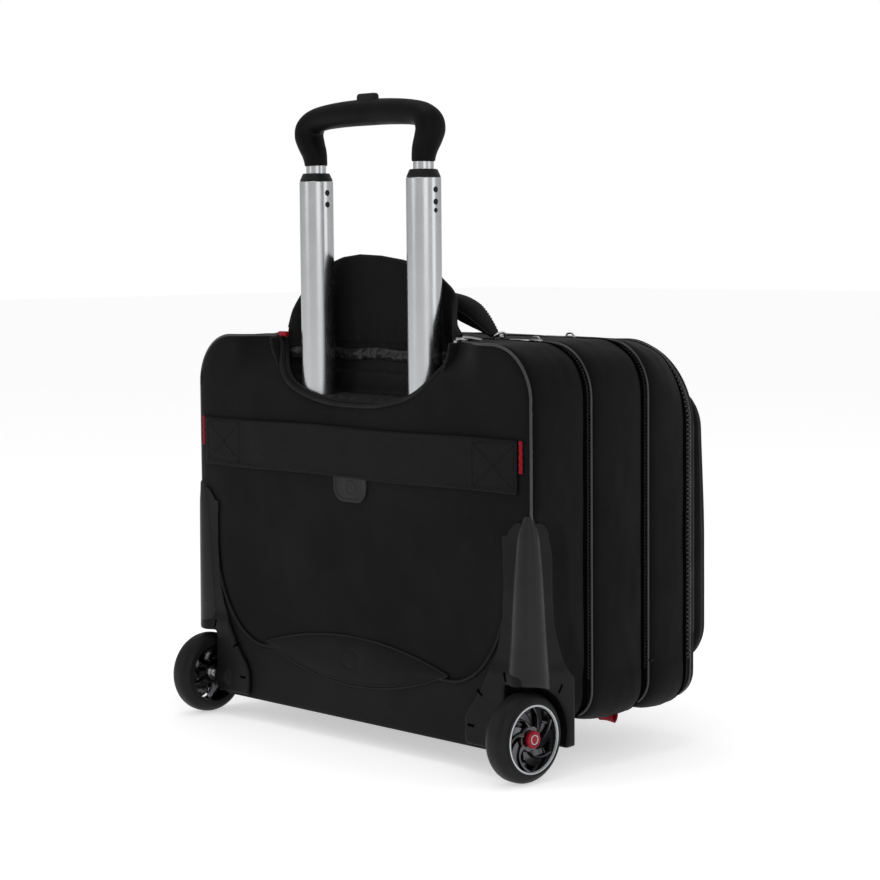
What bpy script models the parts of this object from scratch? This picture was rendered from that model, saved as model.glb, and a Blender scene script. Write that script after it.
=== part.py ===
"""Rolling laptop case: a four-part soft case on a two-stage trolley with two wheels.

Metres, +Z up. The front pockets face -Y, the trolley side faces +Y, and the case stands on Z = 0.
Depths are measured forwards from the case's back face: a depth d lies at Y = BACK_Y - d.
"""
import math

import bmesh
import bpy
from mathutils import Matrix, Vector

# ---------------------------------------------------------------- driving sizes

GAP = 0.0003                 # clearance between solids that lie against each other
SLIDE_GAP = 0.0005           # clearance between the trolley's telescoping tubes

CASE_WIDTH = 0.440
CASE_BOTTOM = 0.042
CASE_TOP = 0.362
TOP_RADIUS = 0.045
BOTTOM_RADIUS = 0.022
SOFT_WALL = 0.003
BOARD = 0.0025               # stiff sheets inside the case

BACK_LAYER = 0.0027          # strap, patch and tray wall, on the outside of the back panel
PANEL_THICK = 0.003
REAR_ROOM = 0.0055           # between the carry handle's middle and the first zip
ZIP_WIDTH = 0.005
MIDDLE_DEPTH = 0.067
FRONT_DEPTH = 0.050
COVER_DEPTH = 0.0085
COVER_DROP = 0.004           # from the case's top to the front cover's
ZIP_START = 0.075            # height where each side's zip starts
POCKET_DEPTH = 0.0235
POCKET_DROP = 0.042          # from the case's top to the pocket's
POCKET_RISE = 0.025          # from the case's bottom to the pocket's
POCKET_INSET = 0.008         # from the case's side to the pocket's
POCKET_RADIUS = 0.038

WHEEL_RADIUS = 0.038
WHEEL_WIDTH = 0.0255
WHEEL_INSET = 0.020          # from the case's side in to the wheel's inner face
TYRE_THICK = 0.008
HUB_RADIUS = 0.0105
BEARING_RADIUS = 0.0075
AXLE_RADIUS = 0.004
BOSS_WALL = 0.004            # round the axle's blind bore in the housing
BOSS_LENGTH = 0.0152         # inwards from the housing's cheek
SPOKES = 6
ARCH_GAP = 0.0045            # between the tyre and its arch

TUBE_X = 0.0715
TUBE_WALL = 0.0012
MIDDLE_RADIUS = 0.0153
INNER_RADIUS = 0.009
TUBE_ROOM = 0.0007           # between the outer tubes and the back panel
OUTER_DROP = 0.011           # from the recess's floor to the outer tubes' tops
MIDDLE_OVERLAP = 0.065       # of a middle tube inside its outer one, as raised
MIDDLE_LENGTH = 0.269
INNER_RISE = 0.015           # from a middle tube's foot to the inner one's
COLLAR_HEIGHT = 0.007
GRIP_SEAT = 0.014            # from a middle tube's top to the grip
GRIP_HEIGHT = 0.057
ROD_RADIUS = 0.002
LOCK_HOLE_RADIUS = 0.0027
LOCK_HOLE_DROPS = (0.0105, 0.0210)

SCOOP_DROP = 0.051           # from the case's top to the recess's floor
SCOOP_HALF = 0.115
SCOOP_RADIUS = 0.053
WELL_ROOM = 0.0065           # between the outer tubes and the recess's front

TRAY_LOW = 0.020
TRAY_DROP = 0.040            # from the strap to the tray's side wings
TRAY_INSET = 0.0042          # from a housing's cheek to the tray's side
TRAY_FRONT = 0.055
TRAY_WALL = 0.0025
GRIP_PAD_HALF = 0.123
GRIP_PAD_MIDDLE = 0.078
GRIP_PAD_RISE = 0.019
GRIP_PAD_DROP = 0.025
GUARD_DROP = 0.0165          # from the strap to the guards' tops
GUARD_SKIN = 0.0035
CHEEK_INSET = 0.0088         # from the wheel's inner face in to the housing's cheek
GUARD_LOW = 0.0235
GUARD_BACK = 0.0042          # how far the guard stands behind the case's back
GUARD_CORNER = 0.012
FOOT_HALF = 0.055
FOOT_DEPTH = 0.190
FOOT_LENGTH = 0.016

STRAP_DROP = 0.077           # from the case's top to the luggage strap
STRAP_WIDTH = 0.045
STRAP_INSET = 0.0115
TAB_LENGTH = 0.027

FLAP_HALF = 0.115
FLAP_THICK = 0.003
FLAP_HEIGHT = 0.071
FLAP_FOLD = 0.0008           # gap at the flap's fold, so that it can tilt
FLAP_HEM = 0.0019
HANDLE_HALF = 0.120          # X of the carry handle's anchors
HANDLE_ROOM = 0.0055         # between the open flap and the carry handle
HANDLE_THICK = 0.015
HANDLE_WIDTH = 0.026
SLIDER_REAR = -0.158         # X of each zip slider
SLIDER_MIDDLE = -0.130
SLIDER_HALF = 0.006
PULL_LENGTH = 0.026
PULL_THICK = 0.0015
PULL_EYE = 0.001             # from a pull's end to the axis that it lifts on

ARC_STEPS = 6
ROUND_STEPS = 24
TYRE_STEPS = 40

# ---------------------------------------------------------------- sizes worked out from them

CASE_HALF = CASE_WIDTH / 2
POCKET_TOP = CASE_TOP - POCKET_DROP
POCKET_BOTTOM = CASE_BOTTOM + POCKET_RISE
POCKET_HALF = CASE_HALF - POCKET_INSET
PANEL_BACK = BACK_LAYER + GAP
RING_BACK = PANEL_BACK + PANEL_THICK + GAP
OUTER_INSIDE = MIDDLE_RADIUS + SLIDE_GAP
OUTER_RADIUS = OUTER_INSIDE + TUBE_WALL
TUBE_DEPTH = RING_BACK + TUBE_ROOM + OUTER_RADIUS
WELL_FRONT = TUBE_DEPTH + OUTER_RADIUS + WELL_ROOM
HANDLE_DEPTH = WELL_FRONT + HANDLE_ROOM + HANDLE_WIDTH / 2
REAR_DEPTH = HANDLE_DEPTH + REAR_ROOM
MIDDLE_START = REAR_DEPTH + ZIP_WIDTH
MIDDLE_END = MIDDLE_START + MIDDLE_DEPTH
FRONT_START = MIDDLE_END + ZIP_WIDTH
FRONT_END = FRONT_START + FRONT_DEPTH
COVER_START = FRONT_END + ZIP_WIDTH
COVER_END = COVER_START + COVER_DEPTH
POCKET_START = COVER_END + ZIP_WIDTH
CASE_DEPTH = POCKET_START + POCKET_DEPTH
BACK_Y = (CASE_DEPTH - WHEEL_RADIUS) / 2
BOSS_RADIUS = AXLE_RADIUS + BOSS_WALL
BOSS_INNER = CASE_HALF - WHEEL_INSET - CHEEK_INSET - BOSS_LENGTH
SCOOP_LOW = CASE_TOP - SCOOP_DROP
OUTER_LOW = TRAY_LOW + TRAY_WALL + 0.0045
OUTER_HIGH = SCOOP_LOW - OUTER_DROP
MIDDLE_LOW = OUTER_HIGH - MIDDLE_OVERLAP
MIDDLE_HIGH = MIDDLE_LOW + MIDDLE_LENGTH
INNER_LOW = MIDDLE_LOW + INNER_RISE
GRIP_LOW = MIDDLE_HIGH + GRIP_SEAT
GRIP_TOP = GRIP_LOW + GRIP_HEIGHT
STRAP_HIGH = CASE_TOP - STRAP_DROP
STRAP_LOW = STRAP_HIGH - STRAP_WIDTH
STRAP_HALF = CASE_HALF - STRAP_INSET
TRAY_WING = STRAP_LOW - TRAY_DROP
GUARD_TOP = STRAP_LOW - GUARD_DROP
TAB_LOW = STRAP_HIGH - TAB_LENGTH
FLAP_LOW = CASE_TOP + GAP + FLAP_HEM + FLAP_FOLD
FLAP_TOP = FLAP_LOW + FLAP_HEIGHT
RIM_RADIUS = WHEEL_RADIUS - TYRE_THICK
WHEEL_INNER = CASE_HALF - WHEEL_INSET
GUARD_CHEEK = WHEEL_INNER - CHEEK_INSET
TRAY_HALF = GUARD_CHEEK - TRAY_INSET
GUARD_HALF = CASE_HALF + GUARD_SKIN
WHEEL_OUTER = WHEEL_INNER + WHEEL_WIDTH
ARCH_RADIUS = WHEEL_RADIUS + ARCH_GAP
ARCH_WALL = GUARD_CHEEK + GUARD_SKIN
WELL_HEIGHT = WHEEL_RADIUS + ARCH_RADIUS + 0.003   # top of the space that the wheel takes from the case
WHEEL_SPACE_FRONT = ARCH_RADIUS + 0.005
GUARD_FRONT = WHEEL_SPACE_FRONT + 0.0045
SHEET_DEPTH = max(WHEEL_SPACE_FRONT, WELL_FRONT) + GAP   # of the first compartment's back
GRIP_BORE_TOP = GRIP_LOW + 0.0175
PULL_LOW = CASE_TOP + 2 * GAP
FAR = 0.6                    # longer than anything that a cutter passes through

RUBBER = ((0.012, 0.012, 0.013), 0.75, 0.0)
FABRIC = ((0.010, 0.010, 0.011), 0.85, 0.0)
LINING = ((0.006, 0.006, 0.006), 0.7, 0.0)
PLASTIC = ((0.020, 0.021, 0.022), 0.45, 0.0)
SOFT_GRIP = ((0.008, 0.008, 0.009), 0.5, 0.0)
TUBE_METAL = ((0.62, 0.62, 0.63), 0.3, 1.0)
STEEL = ((0.5, 0.5, 0.5), 0.35, 1.0)
ZIP_BLACK = ((0.012, 0.012, 0.012), 0.4, 0.0)
RED = ((0.35, 0.01, 0.03), 0.7, 0.0)

# ---------------------------------------------------------------- scene and collections

for old in list(bpy.data.objects):
    bpy.data.objects.remove(old)

PARTS = bpy.data.collections.new("rolling_laptop_case")
CUTTERS = bpy.data.collections.new("cutters")
for collection in (PARTS, CUTTERS):
    bpy.context.scene.collection.children.link(collection)

# Where an outline's own axes go. Upright: (across, up) is (X, Z). Side: (depth, up) is (-Y, Z).
UPRIGHT = Matrix(((1, 0, 0), (0, 0, -1), (0, 1, 0))).to_4x4()
SIDE = Matrix(((0, 0, -1), (-1, 0, 0), (0, 1, 0))).to_4x4()
ALONG_X = Matrix(((0, 0, 1), (0, 1, 0), (-1, 0, 0))).to_4x4()
ALONG_Y = Matrix(((1, 0, 0), (0, 0, -1), (0, 1, 0))).to_4x4()
ALONG_Z = Matrix.Identity(4)


def back(depth):
    """Y of a depth measured forwards from the case's back face."""
    return BACK_Y - depth


def material(name, finish):
    colour, roughness, metallic = finish
    made = bpy.data.materials.new(name)
    made.use_nodes = True
    shader = made.node_tree.nodes["Principled BSDF"]
    shader.inputs["Base Color"].default_value = (*colour, 1)
    shader.inputs["Roughness"].default_value = roughness
    shader.inputs["Metallic"].default_value = metallic
    return made


def part(made, name, finish):
    """Name an object as a node, give it its own material and put it with the parts."""
    made.name = name
    made.data.name = name
    made.data.materials.clear()
    made.data.materials.append(material(name + "_finish", finish))
    move_to(made, PARTS)
    return made


def move_to(made, target):
    for current in list(made.users_collection):
        current.objects.unlink(made)
    target.objects.link(made)


def cutter(made):
    """Turn an object into a hidden tool for a Boolean."""
    made.hide_render = True
    made.display_type = "WIRE"
    move_to(made, CUTTERS)
    return made


def combine(target, tool, operation):
    step = target.modifiers.new(operation.lower(), "BOOLEAN")
    step.operation = operation
    step.solver = "EXACT"
    step.object = cutter(tool)
    return target


def cut(target, *tools):
    for tool in tools:
        combine(target, tool, "DIFFERENCE")
    return target


def join(target, *tools):
    for tool in tools:
        combine(target, tool, "UNION")
    return target


def from_bmesh(mesh, place=None):
    data = bpy.data.meshes.new("shape")
    mesh.to_mesh(data)
    mesh.free()
    made = bpy.data.objects.new("shape", data)
    if place is not None:
        made.matrix_world = place
    CUTTERS.objects.link(made)
    return made


def welded(curve_object):
    """The mesh of a curve object, with its caps welded on and its faces outwards."""
    CUTTERS.objects.link(curve_object)
    bpy.context.view_layer.update()
    ready = curve_object.evaluated_get(bpy.context.evaluated_depsgraph_get())
    data = bpy.data.meshes.new_from_object(ready)
    mesh = bmesh.new()
    mesh.from_mesh(data)
    bmesh.ops.remove_doubles(mesh, verts=mesh.verts, dist=0.00001)
    bmesh.ops.recalc_face_normals(mesh, faces=mesh.faces)
    place = curve_object.matrix_world.copy()
    bpy.data.objects.remove(curve_object)
    bpy.data.meshes.remove(data)
    return from_bmesh(mesh, place)


def arc(across, up, radius, start, end, steps=ARC_STEPS):
    """Points on an arc, its angles in degrees."""
    points = []
    for step in range(steps + 1):
        angle = math.radians(start + (end - start) * step / steps)
        points.append((across + radius * math.cos(angle), up + radius * math.sin(angle)))
    return points


def circle(radius, steps):
    return arc(0, 0, radius, 0, 360 - 360 / steps, steps - 1)


def rounded(half, low, high, low_radius, high_radius):
    """An upright rectangle with rounded corners, as (across, up) points."""
    points = arc(half - low_radius, low + low_radius, low_radius, -90, 0)
    points += arc(half - high_radius, high - high_radius, high_radius, 0, 90)
    points += arc(high_radius - half, high - high_radius, high_radius, 90, 180)
    points += arc(low_radius - half, low + low_radius, low_radius, 180, 270)
    return points


def smooth(points, steps=4):
    """Points of a smooth open curve through the given ones (Catmull-Rom)."""
    ends = [points[0]] + list(points) + [points[-1]]
    result = []
    for index in range(len(points) - 1):
        before, start, end, after = (Vector(point) for point in ends[index:index + 4])
        for step in range(steps):
            t = step / steps
            place = start * 2 + (end - before) * t
            place += (before * 2 - start * 5 + end * 4 - after) * t * t
            place += (start * 3 - before - end * 3 + after) * t * t * t
            result.append(tuple(place / 2))
    result.append(tuple(points[-1]))
    return result


def extruded(loops, facing, start, end):
    """A flat outline with holes, pushed between two distances along its own normal."""
    data = bpy.data.curves.new("outline", "CURVE")
    data.dimensions = "2D"
    data.fill_mode = "BOTH"
    data.extrude = abs(end - start) / 2
    for loop in loops:
        spline = data.splines.new("POLY")
        spline.points.add(len(loop) - 1)
        for point, (across, up) in zip(spline.points, loop):
            point.co = (across, up, 0, 1)
        spline.use_cyclic_u = True
    made = bpy.data.objects.new("outline", data)
    made.matrix_world = facing @ Matrix.Translation((0, 0, (start + end) / 2))
    return welded(made)


def upright(loops, near, far):
    """An (across, up) outline between two depths."""
    return extruded(loops, UPRIGHT, -back(near), -back(far))


def sideways(loops, low, high):
    """A (depth, up) outline between two X values."""
    made = extruded(loops, SIDE, -high, -low)
    made.matrix_world = Matrix.Translation((0, BACK_Y, 0)) @ made.matrix_world
    return made


def box(x_low, x_high, near, far, z_low, z_high, rounding=0.0):
    """A box between two X values, two depths and two heights."""
    mesh = bmesh.new()
    size = Matrix.Diagonal((x_high - x_low, far - near, z_high - z_low, 1))
    bmesh.ops.create_cube(mesh, size=1, matrix=size)
    middle = ((x_low + x_high) / 2, back((near + far) / 2), (z_low + z_high) / 2)
    made = from_bmesh(mesh, Matrix.Translation(middle))
    if rounding:
        edge = made.modifiers.new("edges", "BEVEL")
        edge.width = rounding
        edge.segments = 2
    return made


def rod(radius, direction, place, start, end, steps=ROUND_STEPS):
    """A cylinder along one axis, between two values on that axis."""
    mesh = bmesh.new()
    bmesh.ops.create_cone(mesh, cap_ends=True, segments=steps, radius1=radius, radius2=radius,
                          depth=abs(end - start))
    axis = direction.to_3x3() @ Vector((0, 0, 1))
    middle = Vector(place) + axis * (start + end) / 2
    return from_bmesh(mesh, Matrix.Translation(middle) @ direction)


def turned(profile, direction, place, steps=ROUND_STEPS):
    """A closed (radius, along) profile turned about an axis through a place."""
    mesh = bmesh.new()
    points = [mesh.verts.new((radius, 0, along)) for radius, along in profile]
    for index, point in enumerate(points):
        mesh.edges.new((point, points[(index + 1) % len(points)]))
    made = from_bmesh(mesh, Matrix.Translation(place) @ direction)
    turn = made.modifiers.new("turn", "SCREW")
    turn.steps = steps
    turn.render_steps = steps
    turn.use_merge_vertices = True
    turn.merge_threshold = 0.00001
    return made


def ring(outer, inner, low, high, direction, place, steps=ROUND_STEPS):
    profile = [(outer, high), (outer, low), (inner, low), (inner, high)]
    return turned(profile, direction, place, steps)


def swept(points, radii):
    """A round bar along points, with a radius at each point."""
    data = bpy.data.curves.new("path", "CURVE")
    data.dimensions = "3D"
    data.bevel_depth = 1.0
    data.bevel_resolution = 1
    data.use_fill_caps = True
    spline = data.splines.new("POLY")
    spline.points.add(len(points) - 1)
    for point, place, radius in zip(spline.points, points, radii):
        point.co = (*place, 1)
        point.radius = radius
    return welded(bpy.data.objects.new("path", data))


def body(name, place, members):
    """An empty on a joint's axis, with the pieces that move about it as its children."""
    pivot = bpy.data.objects.new(name, None)
    pivot.location = place
    PARTS.objects.link(pivot)
    bpy.context.view_layer.update()
    for member in members:
        member.parent = pivot
        member.matrix_parent_inverse = pivot.matrix_world.inverted()
    return pivot


# ---------------------------------------------------------------- soft case

def scoop(grow=0.0):
    """The U cut in the top of the back, for the trolley's grip; it runs on above the case."""
    radius = SCOOP_RADIUS + grow
    middle = SCOOP_HALF - SCOOP_RADIUS
    height = SCOOP_LOW + SCOOP_RADIUS
    points = arc(middle, height, radius, -90, 0)
    points += [(middle + radius, CASE_TOP + 0.02), (-middle - radius, CASE_TOP + 0.02)]
    points += arc(-middle, height, radius, 180, 270)
    return points


def wheel_spaces(clearance=0.0):
    """What the two wheel housings take from the case's lower back corners."""
    spaces = []
    for side in (-1, 1):
        inner = GUARD_CHEEK - GAP - clearance
        low, high = sorted((side * inner, side * FAR))
        spaces.append(box(low, high, -FAR, WHEEL_SPACE_FRONT + clearance, -FAR, WELL_HEIGHT + clearance))
    return spaces


def boss_spaces():
    """Clearance for the bosses that hold the axles."""
    place = (0, back(0), WHEEL_RADIUS)
    return [rod(BOSS_RADIUS + GAP, ALONG_X, place, side * (BOSS_INNER - GAP), side * FAR) for side in (-1, 1)]


def back_panel():
    outline = rounded(CASE_HALF - GAP, CASE_BOTTOM, CASE_TOP, BOTTOM_RADIUS, TOP_RADIUS)
    panel = upright([outline], PANEL_BACK, PANEL_BACK + PANEL_THICK)
    cut(panel, upright([scoop()], -FAR, FAR), *wheel_spaces(), *boss_spaces())
    return part(panel, "back_panel", FABRIC)


def gusset(near, far, wall_back=0.0):
    """A band round the case between two depths; wall_back closes its back with a sheet."""
    band = upright([rounded(CASE_HALF, CASE_BOTTOM, CASE_TOP, BOTTOM_RADIUS, TOP_RADIUS)], near, far)
    inside = rounded(CASE_HALF - SOFT_WALL, CASE_BOTTOM + SOFT_WALL, CASE_TOP - SOFT_WALL,
                     BOTTOM_RADIUS - SOFT_WALL, TOP_RADIUS - SOFT_WALL)
    hollow_start = near + wall_back if wall_back else near - SOFT_WALL
    return cut(band, upright([inside], hollow_start, far + SOFT_WALL))


def rear_gusset():
    band = gusset(RING_BACK, REAR_DEPTH)
    slot = SCOOP_HALF + BOARD + GAP
    cut(band, box(-slot, slot, -FAR, WELL_FRONT + GAP, SCOOP_LOW, FAR), *wheel_spaces(), *boss_spaces())
    for side in (-1, 1):
        place = (side * TUBE_X, back(TUBE_DEPTH), 0)
        cut(band, rod(OUTER_RADIUS + GAP, ALONG_Z, place, 0, CASE_BOTTOM + 2 * SOFT_WALL))
    return part(band, "rear_gusset", FABRIC)


def compartment_back():
    """The stiff sheet between the trolley's space and the first compartment."""
    inset = SOFT_WALL + GAP
    outline = rounded(CASE_HALF - inset, CASE_BOTTOM + inset, CASE_TOP - inset,
                      BOTTOM_RADIUS - inset, TOP_RADIUS - inset)
    sheet = upright([outline], SHEET_DEPTH, SHEET_DEPTH + BOARD)
    return part(sheet, "compartment_back", LINING)


def trolley_well():
    """The lined recess behind the scoop, which the grip drops into."""
    well = upright([scoop(BOARD)], RING_BACK, WELL_FRONT)
    cut(well, upright([scoop()], -FAR, WELL_FRONT - BOARD), box(-FAR, FAR, -FAR, FAR, CASE_TOP, FAR))
    for side in (-1, 1):
        place = (side * TUBE_X, back(TUBE_DEPTH), 0)
        cut(well, rod(MIDDLE_RADIUS + GAP, ALONG_Z, place, OUTER_LOW, CASE_TOP))
    return part(well, "trolley_well", LINING)


def zip_chain(name, near, half, low, high, radius, start):
    """A closed zip's row of teeth, over the top and down both sides of a seam."""
    drop = 0.001
    depth = 0.0025
    outer = rounded(half - drop, low, high - drop, BOTTOM_RADIUS, radius - drop)
    inner = rounded(half - drop - depth, low + depth, high - drop - depth,
                    BOTTOM_RADIUS - depth, radius - drop - depth)
    chain = upright([outer, inner], near + GAP, near + ZIP_WIDTH - GAP)
    cut(chain, box(-FAR, FAR, -FAR, FAR, -FAR, start))
    return part(chain, name, ZIP_BLACK)


def laptop_pad():
    """The padded divider that holds the computer against the middle section's back wall."""
    inset = SOFT_WALL + GAP
    near = MIDDLE_END - 0.016
    outline = rounded(CASE_HALF - inset, CASE_BOTTOM + inset, CASE_TOP - 0.055, BOTTOM_RADIUS - inset, 0.02)
    return part(upright([outline], near, near + 0.006), "laptop_pad", LINING)


def front_cover():
    outline = rounded(CASE_HALF, CASE_BOTTOM, CASE_TOP - COVER_DROP, BOTTOM_RADIUS, TOP_RADIUS)
    return part(upright([outline], COVER_START, COVER_END), "front_cover", FABRIC)


def pocket_face():
    outline = rounded(POCKET_HALF, POCKET_BOTTOM, POCKET_TOP, POCKET_RADIUS, POCKET_RADIUS)
    inside = rounded(POCKET_HALF - SOFT_WALL, POCKET_BOTTOM + SOFT_WALL, POCKET_TOP - SOFT_WALL,
                     POCKET_RADIUS - SOFT_WALL, POCKET_RADIUS - SOFT_WALL)
    face = upright([outline], POCKET_START, CASE_DEPTH)
    edge = face.modifiers.new("edges", "BEVEL")
    edge.width = 0.006
    edge.segments = 2
    edge.limit_method = "ANGLE"
    edge.angle_limit = math.radians(60)
    cut(face, upright([inside], POCKET_START - SOFT_WALL, CASE_DEPTH - SOFT_WALL))
    return part(face, "pocket_face", FABRIC)


# ---------------------------------------------------------------- base, guards and small fittings

def tray_seam():
    """The tray's upper edge on the back: up along each guard and low in the middle."""
    low = GRIP_PAD_MIDDLE
    rise = [(0.0, low - 0.002), (GRIP_PAD_HALF - 0.013, low - 0.004), (CASE_HALF - 0.080, low - 0.002),
            (CASE_HALF - 0.052, low + 0.016), (CASE_HALF - 0.030, low + 0.054), (CASE_HALF - 0.015, TRAY_WING)]
    right = smooth(rise, 3)
    left = [(-across, up) for across, up in reversed(right[1:])]
    return left + right


def base_tray():
    edge = GUARD_HALF - 0.008
    wing = WELL_HEIGHT + 2 * GAP
    outline = [(-edge, TRAY_WING)] + tray_seam() + [(edge, TRAY_WING), (edge, wing), (TRAY_HALF, wing)]
    outline += [(TRAY_HALF, TRAY_LOW), (-TRAY_HALF, TRAY_LOW), (-TRAY_HALF, wing), (-edge, wing)]
    wall = upright([outline], 0, BACK_LAYER)
    overlap = 0.0005
    floor = box(-TRAY_HALF, TRAY_HALF, BACK_LAYER - overlap, TRAY_FRONT, TRAY_LOW, TRAY_LOW + TRAY_WALL)
    front = box(-TRAY_HALF, TRAY_HALF, TRAY_FRONT - TRAY_WALL, TRAY_FRONT,
                TRAY_LOW + TRAY_WALL - overlap, CASE_BOTTOM - GAP)
    join(wall, floor, front)
    cut(wall, *boss_spaces())
    return part(wall, "base_tray", PLASTIC)


def bottom_grip_pad():
    """The lens-shaped pad that the hand lifts by, low on the back."""
    count = 2 * ARC_STEPS
    upper = []
    lower = []
    for step in range(count + 1):
        across = GRIP_PAD_HALF * (1 - 2 * step / count)
        bow = 1 - (across / GRIP_PAD_HALF) ** 2
        upper.append((across, GRIP_PAD_MIDDLE + GRIP_PAD_RISE * bow))
        lower.append((-across, GRIP_PAD_MIDDLE - GRIP_PAD_DROP * bow))
    outline = upper + lower[1:-1]
    return part(upright([outline], -BACK_LAYER - GAP, -GAP), "bottom_grip_pad", FABRIC)


def guard_spine(side):
    """The half-round rib that runs up the case's corner and tapers to a rounded tip."""
    foot = WHEEL_RADIUS + 0.005
    profile = [(0.0001, GUARD_TOP), (0.006, GUARD_TOP - 0.0015), (0.0095, GUARD_TOP - 0.007),
               (0.0125, GUARD_TOP - 0.024), (0.0165, WELL_HEIGHT + 0.0265), (0.0175, foot), (0.0001, foot)]
    return turned(profile, ALONG_Z, (side * (CASE_HALF - 0.0115), back(0.0095), 0))


def mirrored(points, side):
    return [(side * across, up) for across, up in points]


def between(side, inner, outer):
    return sorted((side * inner, side * outer))


def wheel_guard(side, name):
    """Corner guard and wheel housing in one moulding."""
    reach = CASE_HALF - 0.080
    plan = arc(GUARD_HALF - GUARD_CORNER, back(GUARD_CORNER - GUARD_BACK), GUARD_CORNER, 0, 90)
    plan += [(reach, back(-GUARD_BACK)), (reach, back(GUARD_FRONT)), (GUARD_HALF, back(GUARD_FRONT))]
    guard = extruded([mirrored(plan, side)], ALONG_Z, GUARD_LOW, GUARD_TOP - 0.006)
    join(guard, guard_spine(side))
    face = -GAP / 2
    near_case = CASE_HALF + GAP
    cut(guard, box(*between(side, 0, GUARD_CHEEK), face, FAR, -FAR, FAR))
    cut(guard, box(*between(side, 0, near_case), face, FAR, WELL_HEIGHT - GAP, FAR))
    cut(guard, box(*between(side, 0, near_case), WHEEL_SPACE_FRONT - GAP, FAR, -FAR, FAR))
    high = GUARD_TOP + 0.0115
    inner_edge = smooth([(CASE_HALF - 0.030, high), (CASE_HALF - 0.030, 0.130), (CASE_HALF - 0.054, 0.074),
                         (CASE_HALF - 0.074, 0.046), (CASE_HALF - 0.070, 0.010)], 3)
    inboard = [(reach - 0.04, 0.010), (reach - 0.04, high)] + inner_edge
    cut(guard, upright([mirrored(inboard, side)], -FAR, face))
    arch = WELL_HEIGHT - 0.0035
    front_edge = smooth([(0.018, high), (0.026, GUARD_TOP - 0.0335), (0.028, arch + 0.055),
                         (GUARD_FRONT - 0.012, arch + 0.018), (GUARD_FRONT + 0.004, arch)], 3)
    beyond = front_edge + [(FAR, arch), (FAR, high)]
    cut(guard, sideways([beyond], *between(side, near_case - GAP, FAR)))
    axle_place = (0, back(0), WHEEL_RADIUS)
    cut(guard, rod(ARCH_RADIUS, ALONG_X, axle_place, side * ARCH_WALL, side * FAR, 2 * ROUND_STEPS))
    cut(guard, box(*between(side, ARCH_WALL, FAR), -FAR, 0, -FAR, WHEEL_RADIUS))
    boss = rod(BOSS_RADIUS, ALONG_X, axle_place, side * BOSS_INNER, side * ARCH_WALL)
    join(guard, boss)
    cut(guard, rod(AXLE_RADIUS + GAP, ALONG_X, axle_place, side * (BOSS_INNER + BOSS_WALL), side * FAR))
    return part(guard, name, PLASTIC)


def axle(side, name):
    place = (0, back(0), WHEEL_RADIUS)
    start = BOSS_INNER + BOSS_WALL + GAP
    return part(rod(AXLE_RADIUS, ALONG_X, place, side * start, side * (WHEEL_OUTER - 0.003)), name, STEEL)


def luggage_strap():
    return part(box(-STRAP_HALF, STRAP_HALF, 0, BACK_LAYER, STRAP_LOW, STRAP_HIGH), "luggage_strap", FABRIC)


def strap_patch():
    """A rounded rubber badge that shows below the strap."""
    half = 0.0225
    low = STRAP_LOW - 0.022
    outline = arc(half - 0.012, low + 0.012, 0.012, -90, 0) + [(half, STRAP_LOW - GAP), (-half, STRAP_LOW - GAP)]
    outline += arc(0.012 - half, low + 0.012, 0.012, 180, 270)
    return part(upright([outline], 0, BACK_LAYER), "strap_patch", RUBBER)


def edge_tab(side, name):
    low = STRAP_HALF + GAP
    return part(box(*between(side, low, low + 0.005), 0, BACK_LAYER, TAB_LOW, STRAP_HIGH), name, RED)


def hang_tab():
    """A webbing loop under the case, at the end of a zip."""
    middle = MIDDLE_START + 0.030
    tab = box(0.0105 - CASE_HALF, 0.0275 - CASE_HALF, middle, middle + 0.002, CASE_BOTTOM - 0.013, CASE_BOTTOM - GAP)
    return part(tab, "hang_tab", RED)


def front_foot():
    foot = box(-FOOT_HALF, FOOT_HALF, FOOT_DEPTH - FOOT_LENGTH, FOOT_DEPTH, 0, CASE_BOTTOM - GAP, 0.002)
    return part(foot, "front_foot", RUBBER)


# ---------------------------------------------------------------- trolley

def tube_axis(side):
    return (side * TUBE_X, back(TUBE_DEPTH), 0)


def outer_tube(side, name):
    return part(ring(OUTER_RADIUS, OUTER_INSIDE, OUTER_LOW, OUTER_HIGH, ALONG_Z, tube_axis(side)), name, TUBE_METAL)


def foot_bracket():
    """The block at the tray's floor that both outer tubes stand in."""
    low = TRAY_LOW + TRAY_WALL + GAP
    reach = TUBE_X + OUTER_RADIUS + 0.004
    half_depth = OUTER_RADIUS + 0.002
    block = box(-reach, reach, TUBE_DEPTH - half_depth, TUBE_DEPTH + half_depth, low, CASE_BOTTOM - GAP)
    for side in (-1, 1):
        cut(block, rod(OUTER_RADIUS + GAP, ALONG_Z, tube_axis(side), OUTER_LOW - GAP, CASE_BOTTOM + GAP))
    return part(block, "tube_foot_bracket", PLASTIC)


def top_bracket():
    """The guide under the well: outer tubes end in it and the middle tubes slide through it."""
    reach = TUBE_X + OUTER_RADIUS + 0.004
    half_depth = OUTER_RADIUS - 0.0005
    high = SCOOP_LOW - BOARD - GAP
    block = box(-reach, reach, TUBE_DEPTH - half_depth, TUBE_DEPTH + half_depth + 0.003, OUTER_HIGH - 0.02, high)
    for side in (-1, 1):
        cut(block, rod(MIDDLE_RADIUS + GAP, ALONG_Z, tube_axis(side), OUTER_HIGH - 0.05, high + 0.05))
        cut(block, rod(OUTER_RADIUS + GAP, ALONG_Z, tube_axis(side), OUTER_HIGH - 0.05, OUTER_HIGH + GAP))
    return part(block, "tube_top_bracket", PLASTIC)


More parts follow.
